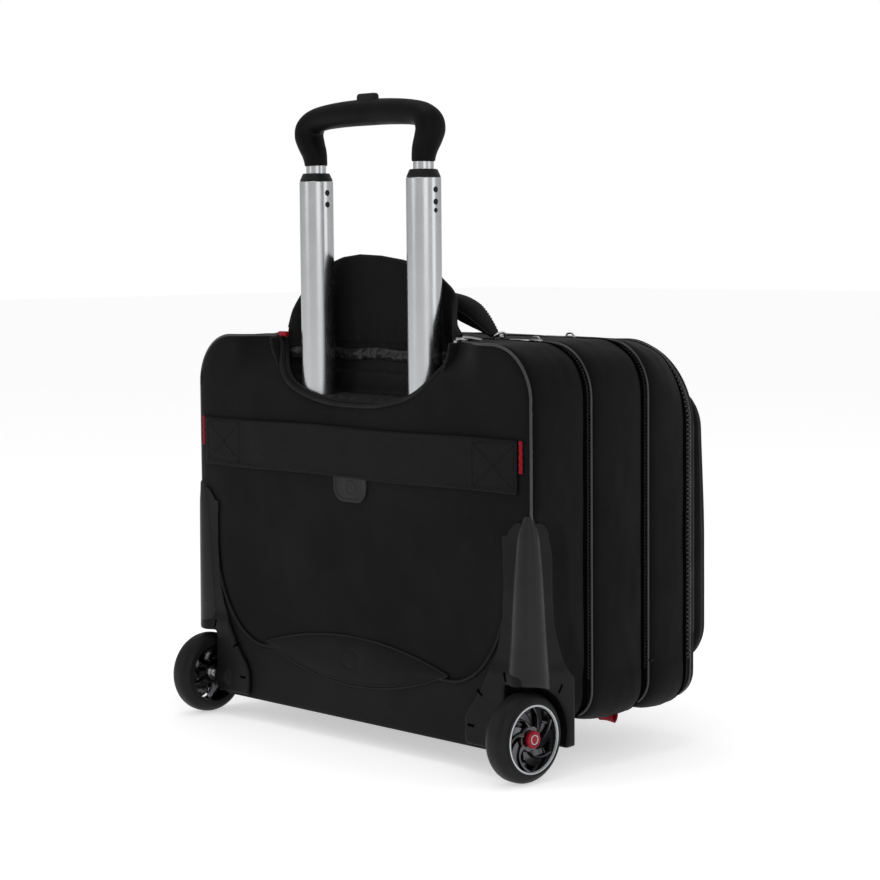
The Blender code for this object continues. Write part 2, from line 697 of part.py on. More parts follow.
def middle_tube(side, name):
    tube = ring(MIDDLE_RADIUS, MIDDLE_RADIUS - TUBE_WALL, MIDDLE_LOW, MIDDLE_HIGH, ALONG_Z, tube_axis(side))
    for drop in LOCK_HOLE_DROPS:
        place = (side * TUBE_X, back(TUBE_DEPTH), MIDDLE_HIGH - drop)
        cut(tube, rod(LOCK_HOLE_RADIUS, ALONG_X, place, -2 * MIDDLE_RADIUS, -MIDDLE_RADIUS / 2, 12))
    return part(tube, name, TUBE_METAL)


def collar(side, name):
    """The ring that closes the middle tube round the inner one."""
    bore = INNER_RADIUS + GAP
    plug = MIDDLE_RADIUS - TUBE_WALL - GAP
    seat = MIDDLE_HIGH + GAP
    profile = [(bore + 0.0025, seat + COLLAR_HEIGHT), (MIDDLE_RADIUS - GAP, seat), (plug, seat),
               (plug, MIDDLE_HIGH - 0.005), (bore, MIDDLE_HIGH - 0.005), (bore, seat + COLLAR_HEIGHT)]
    return part(turned(profile, ALONG_Z, tube_axis(side)), name, PLASTIC)


def inner_tube(side, name):
    high = GRIP_BORE_TOP - GAP
    tube = ring(INNER_RADIUS, INNER_RADIUS - TUBE_WALL, INNER_LOW, high, ALONG_Z, tube_axis(side))
    return part(tube, name, TUBE_METAL)


def inner_bush(side, name):
    """The slide at the inner tube's foot, bored for the push rod."""
    plug = INNER_RADIUS - TUBE_WALL - GAP
    outer = MIDDLE_RADIUS - TUBE_WALL - GAP
    seat = INNER_LOW - GAP
    bore = ROD_RADIUS + GAP
    profile = [(plug, INNER_LOW + 0.012), (plug, seat), (outer, seat), (outer, seat - 0.010),
               (bore, seat - 0.010), (bore, INNER_LOW + 0.012)]
    return part(turned(profile, ALONG_Z, tube_axis(side)), name, PLASTIC)


def push_rod(side, name):
    return part(rod(ROD_RADIUS, ALONG_Z, tube_axis(side), INNER_LOW - 0.014, GRIP_BORE_TOP - 0.006, 12), name, STEEL)


# Half of the grip's middle line: across, up and the bar's radius there.
GRIP_PATH = [(TUBE_X, GRIP_LOW, 0.0105), (TUBE_X + 0.0005, GRIP_LOW + 0.009, 0.0110),
             (TUBE_X + 0.0065, GRIP_LOW + 0.021, 0.0120), (TUBE_X + 0.0090, GRIP_LOW + 0.031, 0.0125),
             (TUBE_X - 0.0025, GRIP_TOP - 0.017, 0.0132), (TUBE_X - 0.0285, GRIP_TOP - 0.015, 0.0142),
             (0.0, GRIP_TOP - 0.0152, 0.0152)]


def grip():
    """The arched bar over both inner tubes."""
    half = smooth(GRIP_PATH, 3)
    whole = [(-across, up, radius) for across, up, radius in half] + list(reversed(half[:-1]))
    points = [(across, back(TUBE_DEPTH), up) for across, up, radius in whole]
    bar = swept(points, [radius for across, up, radius in whole])
    for side in (-1, 1):
        cut(bar, rod(INNER_RADIUS + GAP, ALONG_Z, tube_axis(side), GRIP_LOW - 0.02, GRIP_BORE_TOP))
    cut(bar, button_block(GAP, GRIP_TOP - 0.0105, GRIP_TOP + 0.02))
    return part(bar, "grip", SOFT_GRIP)


def button_block(grow, low, high):
    half_long = 0.014 + grow
    half_wide = 0.0055 + grow
    return box(-half_long, half_long, TUBE_DEPTH - half_wide, TUBE_DEPTH + half_wide, low, high)


def release_button():
    return part(button_block(0, GRIP_TOP - 0.006, GRIP_TOP + 0.005), "release_button", SOFT_GRIP)


# ---------------------------------------------------------------- flap, carry handle and zip sliders

def flap():
    """The cover that zips over the stowed grip, here standing open."""
    radius = 0.055
    outline = [(-FLAP_HALF, FLAP_LOW), (FLAP_HALF, FLAP_LOW)]
    outline += arc(FLAP_HALF - 0.008 - radius, FLAP_TOP - radius, radius, 0, 90)
    outline += arc(radius - FLAP_HALF + 0.008, FLAP_TOP - radius, radius, 90, 180)
    near = WELL_FRONT - FLAP_THICK
    return part(upright([outline], near, near + FLAP_THICK), "flap", FABRIC)


def flap_hem():
    """The sewn edge that the flap turns on."""
    near = WELL_FRONT - FLAP_THICK
    low = CASE_TOP + GAP
    return part(box(-FLAP_HALF, FLAP_HALF, near, near + FLAP_THICK, low, FLAP_LOW - FLAP_FOLD), "flap_hem", FABRIC)


# Half of the carry handle's middle line: across and up.
HANDLE_PATH = [(HANDLE_HALF, CASE_TOP + 0.006), (HANDLE_HALF - 0.016, CASE_TOP + 0.015),
               (HANDLE_HALF - 0.040, CASE_TOP + 0.026), (HANDLE_HALF - 0.075, CASE_TOP + 0.034),
               (0.0, CASE_TOP + 0.0365)]


def carry_handle():
    """A padded band arched over the case's top, thinner at its sewn ends."""
    half = smooth(HANDLE_PATH, 3)
    upper = []
    lower = []
    for across, up in half:
        thick = 0.003 + (HANDLE_THICK - 0.003) * min(1, (HANDLE_HALF - across) / 0.045)
        upper.append((across, up + thick / 2))
        lower.append((across, up - thick / 2))
    outline = upper + [(-across, up) for across, up in reversed(upper[:-1])]
    outline += [(-across, up) for across, up in lower] + list(reversed(lower[:-1]))
    half_width = HANDLE_WIDTH / 2
    band = upright([outline], HANDLE_DEPTH - half_width, HANDLE_DEPTH + half_width)
    for side in (-1, 1):
        for edge in (-1, 1):
            beyond = half_width + 0.007
            taper = [(side * (HANDLE_HALF - 0.040), back(HANDLE_DEPTH + edge * half_width)),
                     (side * (HANDLE_HALF - 0.012), back(HANDLE_DEPTH + edge * 0.006)),
                     (side * (HANDLE_HALF + 0.005), back(HANDLE_DEPTH + edge * 0.004)),
                     (side * (HANDLE_HALF + 0.005), back(HANDLE_DEPTH + edge * beyond)),
                     (side * (HANDLE_HALF - 0.040), back(HANDLE_DEPTH + edge * beyond))]
            cut(band, extruded([taper], ALONG_Z, CASE_TOP, CASE_TOP + 0.1))
    return part(band, "carry_handle", FABRIC)


def handle_anchor(side, name):
    """The metal keeper that holds one end of the carry handle."""
    low, high = between(side, HANDLE_HALF + GAP, HANDLE_HALF + 0.010)
    keeper = box(low, high, HANDLE_DEPTH - 0.013, HANDLE_DEPTH + 0.003, CASE_TOP + GAP, CASE_TOP + 0.0085, 0.001)
    return part(keeper, name, STEEL)


def slider(name, across, near):
    """The body of a zip slider, riding on the chain along the case's top."""
    middle = near + ZIP_WIDTH / 2
    low = CASE_TOP + GAP
    made = box(across - SLIDER_HALF, across + SLIDER_HALF, middle - 0.004, middle + 0.004, low, low + 0.003, 0.0008)
    return part(made, name, STEEL)


def pull(name, across, near):
    """A zip's pull tab, lying along the case's top from its slider."""
    middle = near + ZIP_WIDTH / 2
    start = across + SLIDER_HALF + GAP
    made = box(start, start + PULL_LENGTH, middle - 0.003, middle + 0.003, PULL_LOW, PULL_LOW + PULL_THICK)
    return part(made, name, STEEL)


# ---------------------------------------------------------------- wheels

def tyre(side, name):
    shoulder = 0.0045
    low = -WHEEL_WIDTH / 2
    high = WHEEL_WIDTH / 2
    inner = RIM_RADIUS + GAP
    profile = [(inner, high), (WHEEL_RADIUS - shoulder, high), (WHEEL_RADIUS, high - shoulder),
               (WHEEL_RADIUS, low + shoulder), (WHEEL_RADIUS - shoulder, low), (inner, low)]
    return part(turned(profile, ALONG_X, wheel_place(side), TYRE_STEPS), name, RUBBER)


def wheel_place(side):
    return (side * (WHEEL_INNER + WHEEL_WIDTH / 2), back(0), WHEEL_RADIUS)


def wheel_rim(side, name):
    """Barrel, six swept spokes and hub in one moulding, open between the spokes."""
    band = 0.0028
    loops = [circle(RIM_RADIUS, TYRE_STEPS), circle(BEARING_RADIUS + GAP, ROUND_STEPS)]
    outer = RIM_RADIUS - band
    inner = HUB_RADIUS
    for index in range(SPOKES):
        start = 360 * index / SPOKES
        window = arc(0, 0, outer, start, start + 44, 5)
        window += arc(0, 0, inner, start + 58, start + 28, 2)
        loops.append(window)
    half = WHEEL_WIDTH / 2 - 0.001
    rim = extruded(loops, ALONG_X, -half, half)
    rim.matrix_world = Matrix.Translation(wheel_place(side)) @ rim.matrix_world
    low, high = sorted((side * (half - 0.005), side * (half + 0.01)))
    cut(rim, ring(outer - 0.0005, HUB_RADIUS + 0.001, low, high, ALONG_X, wheel_place(side), TYRE_STEPS))
    return part(rim, name, PLASTIC)


def bearing(side, name):
    half = WHEEL_WIDTH / 2 - 0.004
    return part(ring(BEARING_RADIUS, AXLE_RADIUS + GAP, -half, half, ALONG_X, wheel_place(side)), name, STEEL)


def hub_cap(side, name):
    start = WHEEL_OUTER - 0.001 + GAP
    place = (0, back(0), WHEEL_RADIUS)
    return part(rod(HUB_RADIUS - 0.0007, ALONG_X, place, side * start, side * (start + 0.0018)), name, RED)


# ---------------------------------------------------------------- assembly

SIDES = ((1, "right"), (-1, "left"))


def build():
    back_panel()
    rear_gusset()
    compartment_back()
    trolley_well()
    base_tray()
    bottom_grip_pad()
    luggage_strap()
    strap_patch()
    foot_bracket()
    top_bracket()
    flap_hem()
    for side, word in SIDES:
        wheel_guard(side, "wheel_guard_" + word)
        axle(side, "axle_" + word)
        outer_tube(side, "outer_tube_" + word)
        edge_tab(side, "edge_tab_" + word)
        handle_anchor(side, "handle_anchor_" + word)
    zip_chain("zip_chain_rear", REAR_DEPTH, CASE_HALF, CASE_BOTTOM, CASE_TOP, TOP_RADIUS, ZIP_START)

    hinge_height = CASE_BOTTOM
    middle = [part(gusset(MIDDLE_START, MIDDLE_END, SOFT_WALL), "middle_gusset", FABRIC), laptop_pad(), hang_tab(),
              zip_chain("zip_chain_middle", MIDDLE_END, CASE_HALF, CASE_BOTTOM, CASE_TOP, TOP_RADIUS, ZIP_START)]
    front = [part(gusset(FRONT_START, FRONT_END, SOFT_WALL), "front_gusset", FABRIC), front_foot(),
             zip_chain("zip_chain_front", FRONT_END, CASE_HALF, CASE_BOTTOM, CASE_TOP - COVER_DROP, TOP_RADIUS, ZIP_START)]
    cover = [front_cover(), zip_chain("zip_chain_pocket", COVER_END, POCKET_HALF, POCKET_BOTTOM, POCKET_TOP,
                                      POCKET_RADIUS, POCKET_BOTTOM + 0.020)]
    body("middle_section", (0, back(REAR_DEPTH + ZIP_WIDTH / 2), hinge_height), middle)
    body("front_section", (0, back(MIDDLE_END + ZIP_WIDTH / 2), hinge_height), front)
    body("cover", (0, back(FRONT_END + ZIP_WIDTH / 2), hinge_height), cover)
    body("pocket", (0, back(COVER_END + ZIP_WIDTH / 2), POCKET_BOTTOM), [pocket_face()])

    middle_stage = []
    inner_stage = [grip()]
    buttons = [release_button()]
    for side, word in SIDES:
        middle_stage += [middle_tube(side, "middle_tube_" + word), collar(side, "tube_collar_" + word)]
        inner_stage += [inner_tube(side, "inner_tube_" + word), inner_bush(side, "inner_bush_" + word)]
        buttons.append(push_rod(side, "push_rod_" + word))
    body("trolley_middle", (0, back(TUBE_DEPTH), MIDDLE_HIGH), middle_stage)
    body("trolley_inner", (0, back(TUBE_DEPTH), GRIP_LOW), inner_stage)
    body("release", (0, back(TUBE_DEPTH), GRIP_TOP), buttons)

    body("flap_body", (0, back(WELL_FRONT - FLAP_THICK / 2), FLAP_LOW - FLAP_FOLD / 2), [flap()])
    body("handle_body", (0, back(HANDLE_DEPTH), HANDLE_PATH[0][1]), [carry_handle()])
    for side, word in SIDES:
        pieces = [tyre(side, "tyre_" + word), wheel_rim(side, "wheel_rim_" + word),
                  bearing(side, "bearing_" + word), hub_cap(side, "hub_cap_" + word)]
        body("wheel_" + word, wheel_place(side), pieces)

    for word, across, near in (("rear", SLIDER_REAR, REAR_DEPTH), ("middle", SLIDER_MIDDLE, MIDDLE_END)):
        body("slider_body_" + word, (across, back(near + ZIP_WIDTH / 2), CASE_TOP),
             [slider("zip_slider_" + word, across, near)])
        pivot = (across + SLIDER_HALF + GAP + PULL_EYE, back(near + ZIP_WIDTH / 2), PULL_LOW + PULL_THICK / 2)
        body("pull_body_" + word, pivot, [pull("zip_pull_" + word, across, near)])


build()
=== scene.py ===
import math

import bpy
from bpy.props import FloatProperty, FloatVectorProperty, IntProperty, PointerProperty
from mathutils import Matrix, Vector, noise
from mathutils.geometry import interpolate_bezier
from mathutils.kdtree import KDTree


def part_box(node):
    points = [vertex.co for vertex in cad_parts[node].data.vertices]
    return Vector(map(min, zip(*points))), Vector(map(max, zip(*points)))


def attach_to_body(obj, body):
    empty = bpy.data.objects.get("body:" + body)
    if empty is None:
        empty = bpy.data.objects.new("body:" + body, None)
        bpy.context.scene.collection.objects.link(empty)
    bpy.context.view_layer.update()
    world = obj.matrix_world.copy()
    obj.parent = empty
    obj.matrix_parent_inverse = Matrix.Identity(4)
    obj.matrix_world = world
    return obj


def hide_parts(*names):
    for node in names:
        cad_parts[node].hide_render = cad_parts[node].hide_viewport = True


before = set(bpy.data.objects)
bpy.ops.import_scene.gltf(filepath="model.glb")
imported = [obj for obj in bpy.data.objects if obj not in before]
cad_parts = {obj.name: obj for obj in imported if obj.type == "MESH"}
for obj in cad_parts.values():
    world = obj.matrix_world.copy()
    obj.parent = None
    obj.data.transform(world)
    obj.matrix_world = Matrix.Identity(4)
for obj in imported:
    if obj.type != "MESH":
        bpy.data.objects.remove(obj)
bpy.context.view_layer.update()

bl_info = {
    "name": "Rolling laptop case",
    "version": (1, 0, 0),
    "blender": (4, 5, 0),
    "location": "View3D > Sidebar > Laptop case",
    "description": "Dresses the packed frame of a rolling laptop case with cloth, zips, plastic and metal",
    "category": "Object",
}

# ---------------- places, from the frame


def low(node):
    return Vector(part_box(node)[0])


def high(node):
    return Vector(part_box(node)[1])


def ends(node):
    """The lowest and highest corners of a CAD node's box."""
    return low(node), high(node)


def middle(node):
    return (low(node) + high(node)) / 2


SIDES = ((1, "right"), (-1, "left"))
BACK = high("luggage_strap").y              # plane of the case's back
CASE_HALF = high("rear_gusset").x
CASE_LOW = low("rear_gusset").z
CASE_TOP = high("rear_gusset").z
CORNER = 0.045                              # radius of the case's upper corners
FRONT_CORNER = 0.072                        # the front's upper corners are rounder
FOOT_CORNER = 0.025                         # and of its lower ones
TOP_CROWN = 0.002                           # how far the top rises in the middle
CROWN_FROM = 0.2                            # height above which it does
BACK_SEAM = 0.0036                          # how far the back's seams lie in front of its plane
SEAM_DIP = 0.0036                           # how far cloth draws in at a zip
CLOTH = 0.0025                              # thickness of padded cloth
ARC_STEPS = 14                              # straight pieces in an outline's quarter turn
PATH_ARC_STEPS = 30                         # and in a seam's
BACKWARDS = Vector((0, 1, 0))               # the way the case's back faces
# The recess's edge: across, and down from the case's top
SCOOP = [(0.0, 0.0585), (0.030, 0.0575), (0.063, 0.0515), (0.087, 0.0420), (0.105, 0.0260), (0.1145, 0.0120),
         (0.122, -0.0040)]
SCOOP_HALF = SCOOP[-1][0]
TUBE_X = middle("middle_tube_right").x
TUBE_Y = middle("middle_tube_right").y
TUBE_RADIUS = (high("middle_tube_right").x - low("middle_tube_right").x) / 2
TUBE_TOP = high("middle_tube_right").z
WHEEL_RADIUS = high("tyre_right").z / 2
WHEEL_Y = middle("tyre_right").y
WHEEL_X = middle("tyre_right").x
WHEEL_HALF = (high("tyre_right").x - low("tyre_right").x) / 2
RIM_RADIUS = (high("wheel_rim_right").z - low("wheel_rim_right").z) / 2
STRAP_LOW = low("luggage_strap").z
STRAP_HIGH = high("luggage_strap").z
STRAP_HALF = high("luggage_strap").x

# ---------------- sizes and colours that a user may change


def length(name, default, description):
    return FloatProperty(name=name, description=description, default=default, unit="LENGTH")


def tint_of(name, default, description):
    return FloatVectorProperty(name=name, description=description, default=default, subtype="COLOR")


class ClothSizes(bpy.types.PropertyGroup):
    """Shape of the sewn parts."""
    bulge: length("Bulge", 0.0046, "How far a section's side stands out between its seams")
    wrinkle: length("Wrinkle", 0.0009, "Depth of the soft folds in the cloth")
    piping: length("Piping radius", 0.0013, "Radius of the sewn cord along a seam")
    stitch: length("Stitch pitch", 0.0034, "Distance from one stitch to the next")
    tooth: length("Tooth pitch", 0.0030, "Distance from one zip tooth to the next on one side")
    weave: length("Weave pitch", 0.0011, "Width of two threads of the case's cloth")


class HardSizes(bpy.types.PropertyGroup):
    """Shape of the moulded and turned parts."""
    spokes: IntProperty(name="Spokes", description="Swept spokes of each wheel", default=6, min=3, max=9)
    tube_sides: IntProperty(name="Tube sides", description="Flat sides that make a round tube", default=96)
    grain: length("Moulding voxel", 0.0013, "Finest step of a remeshed moulding")


class Colours(bpy.types.PropertyGroup):
    """Linear colours of the finishes."""
    cloth: tint_of("Cloth", (0.0038, 0.0038, 0.0041), "Woven cloth of the case")
    strap: tint_of("Strap", (0.0036, 0.0036, 0.0038), "Webbing of the luggage strap")
    piping: tint_of("Piping", (0.020, 0.020, 0.021), "Sheened cord along the seams")
    guard: tint_of("Guard", (0.0095, 0.0095, 0.0105), "Moulded corner guards")
    red: tint_of("Red", (0.25, 0.004, 0.014), "Tabs, hub caps and pulls")
    tube: tint_of("Tube", (0.54, 0.55, 0.56), "Trolley tubes")


def cloth_sizes():
    return bpy.context.scene.case_cloth


def hard_sizes():
    return bpy.context.scene.case_hard


def colours():
    return bpy.context.scene.case_colours


# ---------------- shader graphs


class Value:
    """A shader socket that Python's arithmetic turns into Math nodes."""

    def __init__(self, graph, socket):
        self.graph = graph
        self.socket = socket

    def math(self, operation, *others):
        inputs = dict(enumerate((self,) + others))
        return self.graph.add("ShaderNodeMath", {"operation": operation}, inputs)

    def __add__(self, other):
        return self.math("ADD", other)

    def __mul__(self, other):
        return self.math("MULTIPLY", other)

    def sine(self):
        return self.math("SINE")


class Graph:
    """One material: nodes are added by type, settings and inputs."""

    def __init__(self, name):
        self.material = bpy.data.materials.new(name)
        self.material.use_nodes = True
        self.tree = self.material.node_tree
        self.shader = self.tree.nodes["Principled BSDF"]

    def add(self, kind, settings, inputs, output=0):
        node = self.tree.nodes.new(kind)
        for key, value in settings.items():
            setattr(node, key, value)
        for key, value in inputs.items():
            self.put(node.inputs[key], value)
        return Value(self, node.outputs[output])

    def put(self, socket, value):
        if isinstance(value, Value):
            self.tree.links.new(value.socket, socket)
        else:
            socket.default_value = value

    def set(self, name, value):
        self.put(self.shader.inputs[name], value)

    def place(self):
        return self.add("ShaderNodeTexCoord", {}, {}, "Object")

    def axes(self, vector):
        return [self.add("ShaderNodeSeparateXYZ", {}, {0: vector}, name) for name in "XYZ"]

    def mapped(self, vector, scale):
        return self.add("ShaderNodeMapping", {}, {"Vector": vector, "Scale": scale})

    def noise(self, vector, scale, detail=3.0, rough=0.5):
        inputs = {"Vector": vector, "Scale": scale, "Detail": detail, "Roughness": rough}
        return self.add("ShaderNodeTexNoise", {}, inputs, "Fac")

    def spread(self, value, low_in, high_in, low_out, high_out):
        inputs = {"Value": value, "From Min": low_in, "From Max": high_in,
                  "To Min": low_out, "To Max": high_out}
        return self.add("ShaderNodeMapRange", {}, inputs)

    def mix(self, factor, first, second):
        node = self.tree.nodes.new("ShaderNodeMix")
        node.data_type = "RGBA"
        self.put(node.inputs[0], factor)
        self.put(node.inputs[6], first)
        self.put(node.inputs[7], second)
        return Value(self, node.outputs[2])

    def bump(self, height, strength, distance):
        inputs = {"Height": height, "Strength": strength, "Distance": distance}
        self.set("Normal", self.add("ShaderNodeBump", {}, inputs, "Normal"))


def shade(colour, factor):
    """An RGBA colour, scaled."""
    return (colour[0] * factor, colour[1] * factor, colour[2] * factor, 1.0)


MADE = {}
MOTTLE = 0.30                               # share by which woven cloth varies in tone
SHEEN = 0.04
WEAR = 0.35                                 # share by which mouldings are lighter where they are handled


def woven(name, colour, pitch, rough=0.74, depth=0.00018):
    """Plain weave: crossing threads in every plane, with faint mottling and rubbed patches."""
    graph = Graph(name)
    place = graph.place()
    turn = 2 * math.pi / pitch
    across, along, up = [axis * turn for axis in graph.axes(place)]
    threads = across.sine() * up.sine() + along.sine() * (across.sine() + up.sine())
    cloudy = graph.noise(place, 9.0, 4.0, 0.6)
    fine = graph.noise(place, 900.0, 2.0)
    tone = graph.spread(cloudy, 0.3, 0.7, 0.0, 1.0)
    base = graph.mix(tone, shade(colour, 1 - MOTTLE), shade(colour, 1 + MOTTLE))
    glint = graph.spread(threads, -1.0, 1.6, 0.0, 1.0)
    graph.set("Base Color", graph.mix(glint * 0.35, base, shade(colour, 1.9)))
    graph.set("Roughness", graph.spread(cloudy, 0.3, 0.7, rough + 0.06, rough - 0.08) + fine * 0.04)
    graph.set("Specular IOR Level", 0.08)
    graph.set("Sheen Weight", SHEEN)
    graph.set("Sheen Roughness", 0.45)
    graph.bump(threads * 0.5 + fine * 0.5, 0.28, depth)
    return graph.material


def ribbed(name, colour, pitch, rough=0.6, depth=0.0004):
    """Webbing: fine ribs along one way and a slow twill across them."""
    graph = Graph(name)
    place = graph.place()
    across, along, up = graph.axes(place)
    ribs = ((up + along) * (2 * math.pi / pitch)).sine()
    twill = ((across + up * 0.5) * (2 * math.pi / (pitch * 0.6))).sine()
    cloudy = graph.noise(place, 25.0, 3.0)
    fine = graph.noise(place, 1200.0, 2.0)
    light = graph.spread(ribs + twill * 0.6, -1.4, 1.6, 0.0, 1.0)
    base = graph.mix(light, shade(colour, 0.8), shade(colour, 1.3))
    graph.set("Base Color", graph.mix(cloudy * 0.4, base, shade(colour, 0.6)))
    graph.set("Roughness", graph.spread(fine, 0.3, 0.7, rough - 0.06, rough + 0.1))
    graph.set("Specular IOR Level", 0.12)
    graph.bump(ribs * 0.5 + twill * 0.3 + fine * 0.3, 0.5, depth)
    return graph.material


def moulded(name, colour, rough, grain=0.00006, scale=2600.0, coat=0.0, shine=0.3):
    """Plastic or rubber with a spark-eroded grain and slightly polished high spots."""
    graph = Graph(name)
    place = graph.place()
    pits = graph.noise(place, scale, 2.0, 0.6)
    hands = graph.noise(place, 24.0, 4.0, 0.6)
    handled = graph.spread(hands, 0.35, 0.7, 0.0, 1.0)
    graph.set("Base Color", graph.mix(handled, shade(colour, 1 - WEAR * 0.4), shade(colour, 1 + WEAR)))
    graph.set("Roughness", graph.spread(hands, 0.3, 0.7, rough + 0.06, rough - 0.07) + pits * 0.04)
    graph.set("Specular IOR Level", shine)
    if coat:
        graph.set("Coat Weight", coat)
    graph.bump(pits, 0.25, grain)
    return graph.material


def metal(name, colour, rough, brushed, along):
    """Satin or polished metal; brushed lines run along one axis."""
    graph = Graph(name)
    place = graph.place()
    stretch = [2600.0, 2600.0, 2600.0]
    stretch[along] = 9.0
    lines = graph.noise(graph.mapped(place, tuple(stretch)), 1.0, 3.0, 0.6)
    cloudy = graph.noise(place, 30.0, 3.0)
    graph.set("Metallic", 1.0)
    tone = graph.spread(lines, 0.3, 0.7, 0.0, 1.0)
    graph.set("Base Color", graph.mix(tone, shade(colour, 0.96), shade(colour, 1.04)))
    graph.set("Roughness", graph.spread(cloudy, 0.3, 0.7, rough - 0.03, rough + 0.05) + tone * 0.05)
    graph.bump(lines, brushed, 0.00005)
    return graph.material


def finishes():
    """Every finish by its material slot, and a few extra ones."""
    tint = colours()
    weave = cloth_sizes().weave
    MADE.update({
        "case_fabric": woven("case_cloth", tint.cloth, weave),
        "pad_fabric": woven("pad_cloth", shade(tint.cloth, 1.25), weave * 0.8, rough=0.66),
        "lining": woven("lining_cloth", shade(tint.cloth, 1.7), weave * 0.55, rough=0.45, depth=0.0001),
        "strap_webbing": ribbed("strap_webbing", tint.strap, 0.0016, depth=0.0002),
        "piping": moulded("seam_piping", tint.piping, 0.34, 0.00008, 1500.0, shine=0.5),
        "dark_piping": moulded("dark_piping", shade(tint.cloth, 1.3), 0.55, 0.00008, 1500.0, shine=0.15),
        "red_webbing": ribbed("red_webbing", tint.red, 0.0012, rough=0.55),
        "red_plastic": moulded("red_plastic", tint.red, 0.30, 0.00002, coat=0.1, shine=0.15),
        "black_plastic": moulded("black_plastic", (0.0060, 0.0060, 0.0064), 0.42, shine=0.18),
        # A lighter and a darker copy of the guard's one colour: the spine's lighter tone is a painted
        # highlight.
        "lit_guard_spine": moulded("lit_guard_spine", shade(tint.guard, 0.85), 0.32, 0.00004, 2200.0, shine=0.22),
        "guard_plastic": moulded("guard_plastic", shade(tint.guard, 0.45), 0.42, 0.00005, 2200.0, shine=0.11),
        "base_cloth": woven("base_cloth", shade(tint.cloth, 1.1), weave * 0.7, rough=0.6),
        "satin_strip": moulded("satin_strip", (0.014, 0.014, 0.015), 0.38, 0.00003),
        "rim_plastic": metal("rim_finish", (0.10, 0.10, 0.105), 0.20, 0.05, 0),
        "soft_grip": moulded("soft_grip", (0.0034, 0.0034, 0.0037), 0.50, 0.00005, 3000.0, shine=0.07),
        "rubber_parts": moulded("black_rubber", (0.0080, 0.0080, 0.0085), 0.60, 0.00008, 1800.0),
        "wheel_tyre": moulded("wheel_tyre", (0.0070, 0.0070, 0.0075), 0.46, 0.00006, 1600.0, shine=0.14),
        "tube_aluminium": metal("tube_aluminium", tint.tube, 0.22, 0.05, 2),
        "steel": metal("steel", (0.50, 0.50, 0.51), 0.24, 0.1, 0),
        "zip_metal": metal("zip_metal", (0.42, 0.42, 0.43), 0.22, 0.1, 0),
        "zip_teeth": moulded("zip_teeth", (0.020, 0.020, 0.021), 0.30, 0.00003, shine=0.5),
        "coarse_teeth": moulded("coarse_teeth", (0.028, 0.028, 0.029), 0.32, 0.00003, shine=0.5),
        "thread": moulded("thread", (0.0075, 0.0075, 0.008), 0.55, 0.00005, 3500.0, shine=0.15),
        "silver_paint": moulded("silver_paint", (0.42, 0.43, 0.44), 0.28, 0.00002, coat=0.4),
        # Painted shade: near-black and matte, laid on the guard's slots and along the recess at each zip,
        # where shade falls.
        "painted_shade": moulded("painted_shade", (0.0012, 0.0012, 0.0012), 0.9, shine=0.0),
    })


def dress(obj, slot, finish=None):
    """Gives a piece one finish: the one named by finish, or else the one made for the record's slot."""
    material = MADE[finish or slot]
    if obj.data.materials:
        for index in range(len(obj.data.materials)):
            obj.data.materials[index] = material
    else:
        obj.data.materials.append(material)


def attach(obj, body, slot, finish=None, node=None):
    """Dresses a piece, puts it on a body and, where it stands for a CAD node, hides the node."""
    dress(obj, slot, finish)
    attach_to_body(obj, body)
    if node:
        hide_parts(node)


# ---------------- modelling helpers


def deselect():
    if bpy.context.object and bpy.context.object.mode != "OBJECT":
        bpy.ops.object.mode_set(mode="OBJECT")
    bpy.ops.object.select_all(action="DESELECT")


def only(obj):
    deselect()
    obj.select_set(True)
    bpy.context.view_layer.objects.active = obj


def edit(obj):
    """Goes into edit mode with every face selected."""
    only(obj)
    bpy.ops.object.mode_set(mode="EDIT")
    bpy.ops.mesh.select_mode(type="FACE")
    bpy.ops.mesh.select_all(action="SELECT")


def leave():
    bpy.ops.object.mode_set(mode="OBJECT")


def pick(obj, test):
    """Selects only the faces that pass test(centre, normal), in edit mode."""
    leave()
    for face in obj.data.polygons:
        face.select = bool(test(face.center, face.normal))
    for edge in obj.data.edges:
        edge.select = False
    bpy.ops.object.mode_set(mode="EDIT")
    bpy.ops.mesh.select_mode(type="FACE")


def modify(obj, kind, **settings):
    """Adds a modifier and applies it."""
    only(obj)
    modifier = obj.modifiers.new(kind, kind)
    for key, value in settings.items():
        setattr(modifier, key, value)
    bpy.ops.object.modifier_apply(modifier=modifier.name)


def place_mesh(obj):
    """Moves the object's place and turn into its mesh."""
    only(obj)
    bpy.ops.object.transform_apply(location=True, rotation=True, scale=True)


def face_out(obj):
    """Turns every face outwards on a closed or nearly closed shape."""
    edit(obj)
    bpy.ops.mesh.remove_doubles(threshold=0.00001)
    bpy.ops.mesh.normals_make_consistent(inside=False)
    leave()


def weld(obj, nearer=0.00001):
    """Joins corners that lie on each other."""
    edit(obj)
    bpy.ops.mesh.remove_doubles(threshold=nearer)
    leave()


def flip_if(obj, measure):
    """Turns an open sheet's faces over if measure(face), summed by area, is negative."""
    if sum(measure(face) * face.area for face in obj.data.polygons) < 0:
        edit(obj)
        bpy.ops.mesh.flip_normals()
        leave()


def face_towards(obj, direction):
    """Turns an open sheet so that its faces look along direction."""
    flip_if(obj, lambda face: face.normal.dot(direction))


def face_away(obj, centre):
    """Turns an open shell so that its faces look away from a point inside it."""
    flip_if(obj, lambda face: face.normal.dot(face.center - centre))


def round_off(obj, angle=40):
    """Shades smooth across edges flatter than angle."""
    only(obj)
    bpy.ops.object.shade_smooth_by_angle(angle=math.radians(angle))


def smooth_all(obj):
    """Shades every face smooth."""
    only(obj)
    bpy.ops.object.shade_smooth()


def thicken(obj, thickness, offset=-1):
    """Gives a sheet its thickness; an offset of -1 leaves its outer face in place."""
    modify(obj, "SOLIDIFY", thickness=thickness, offset=offset)
    smooth_all(obj)


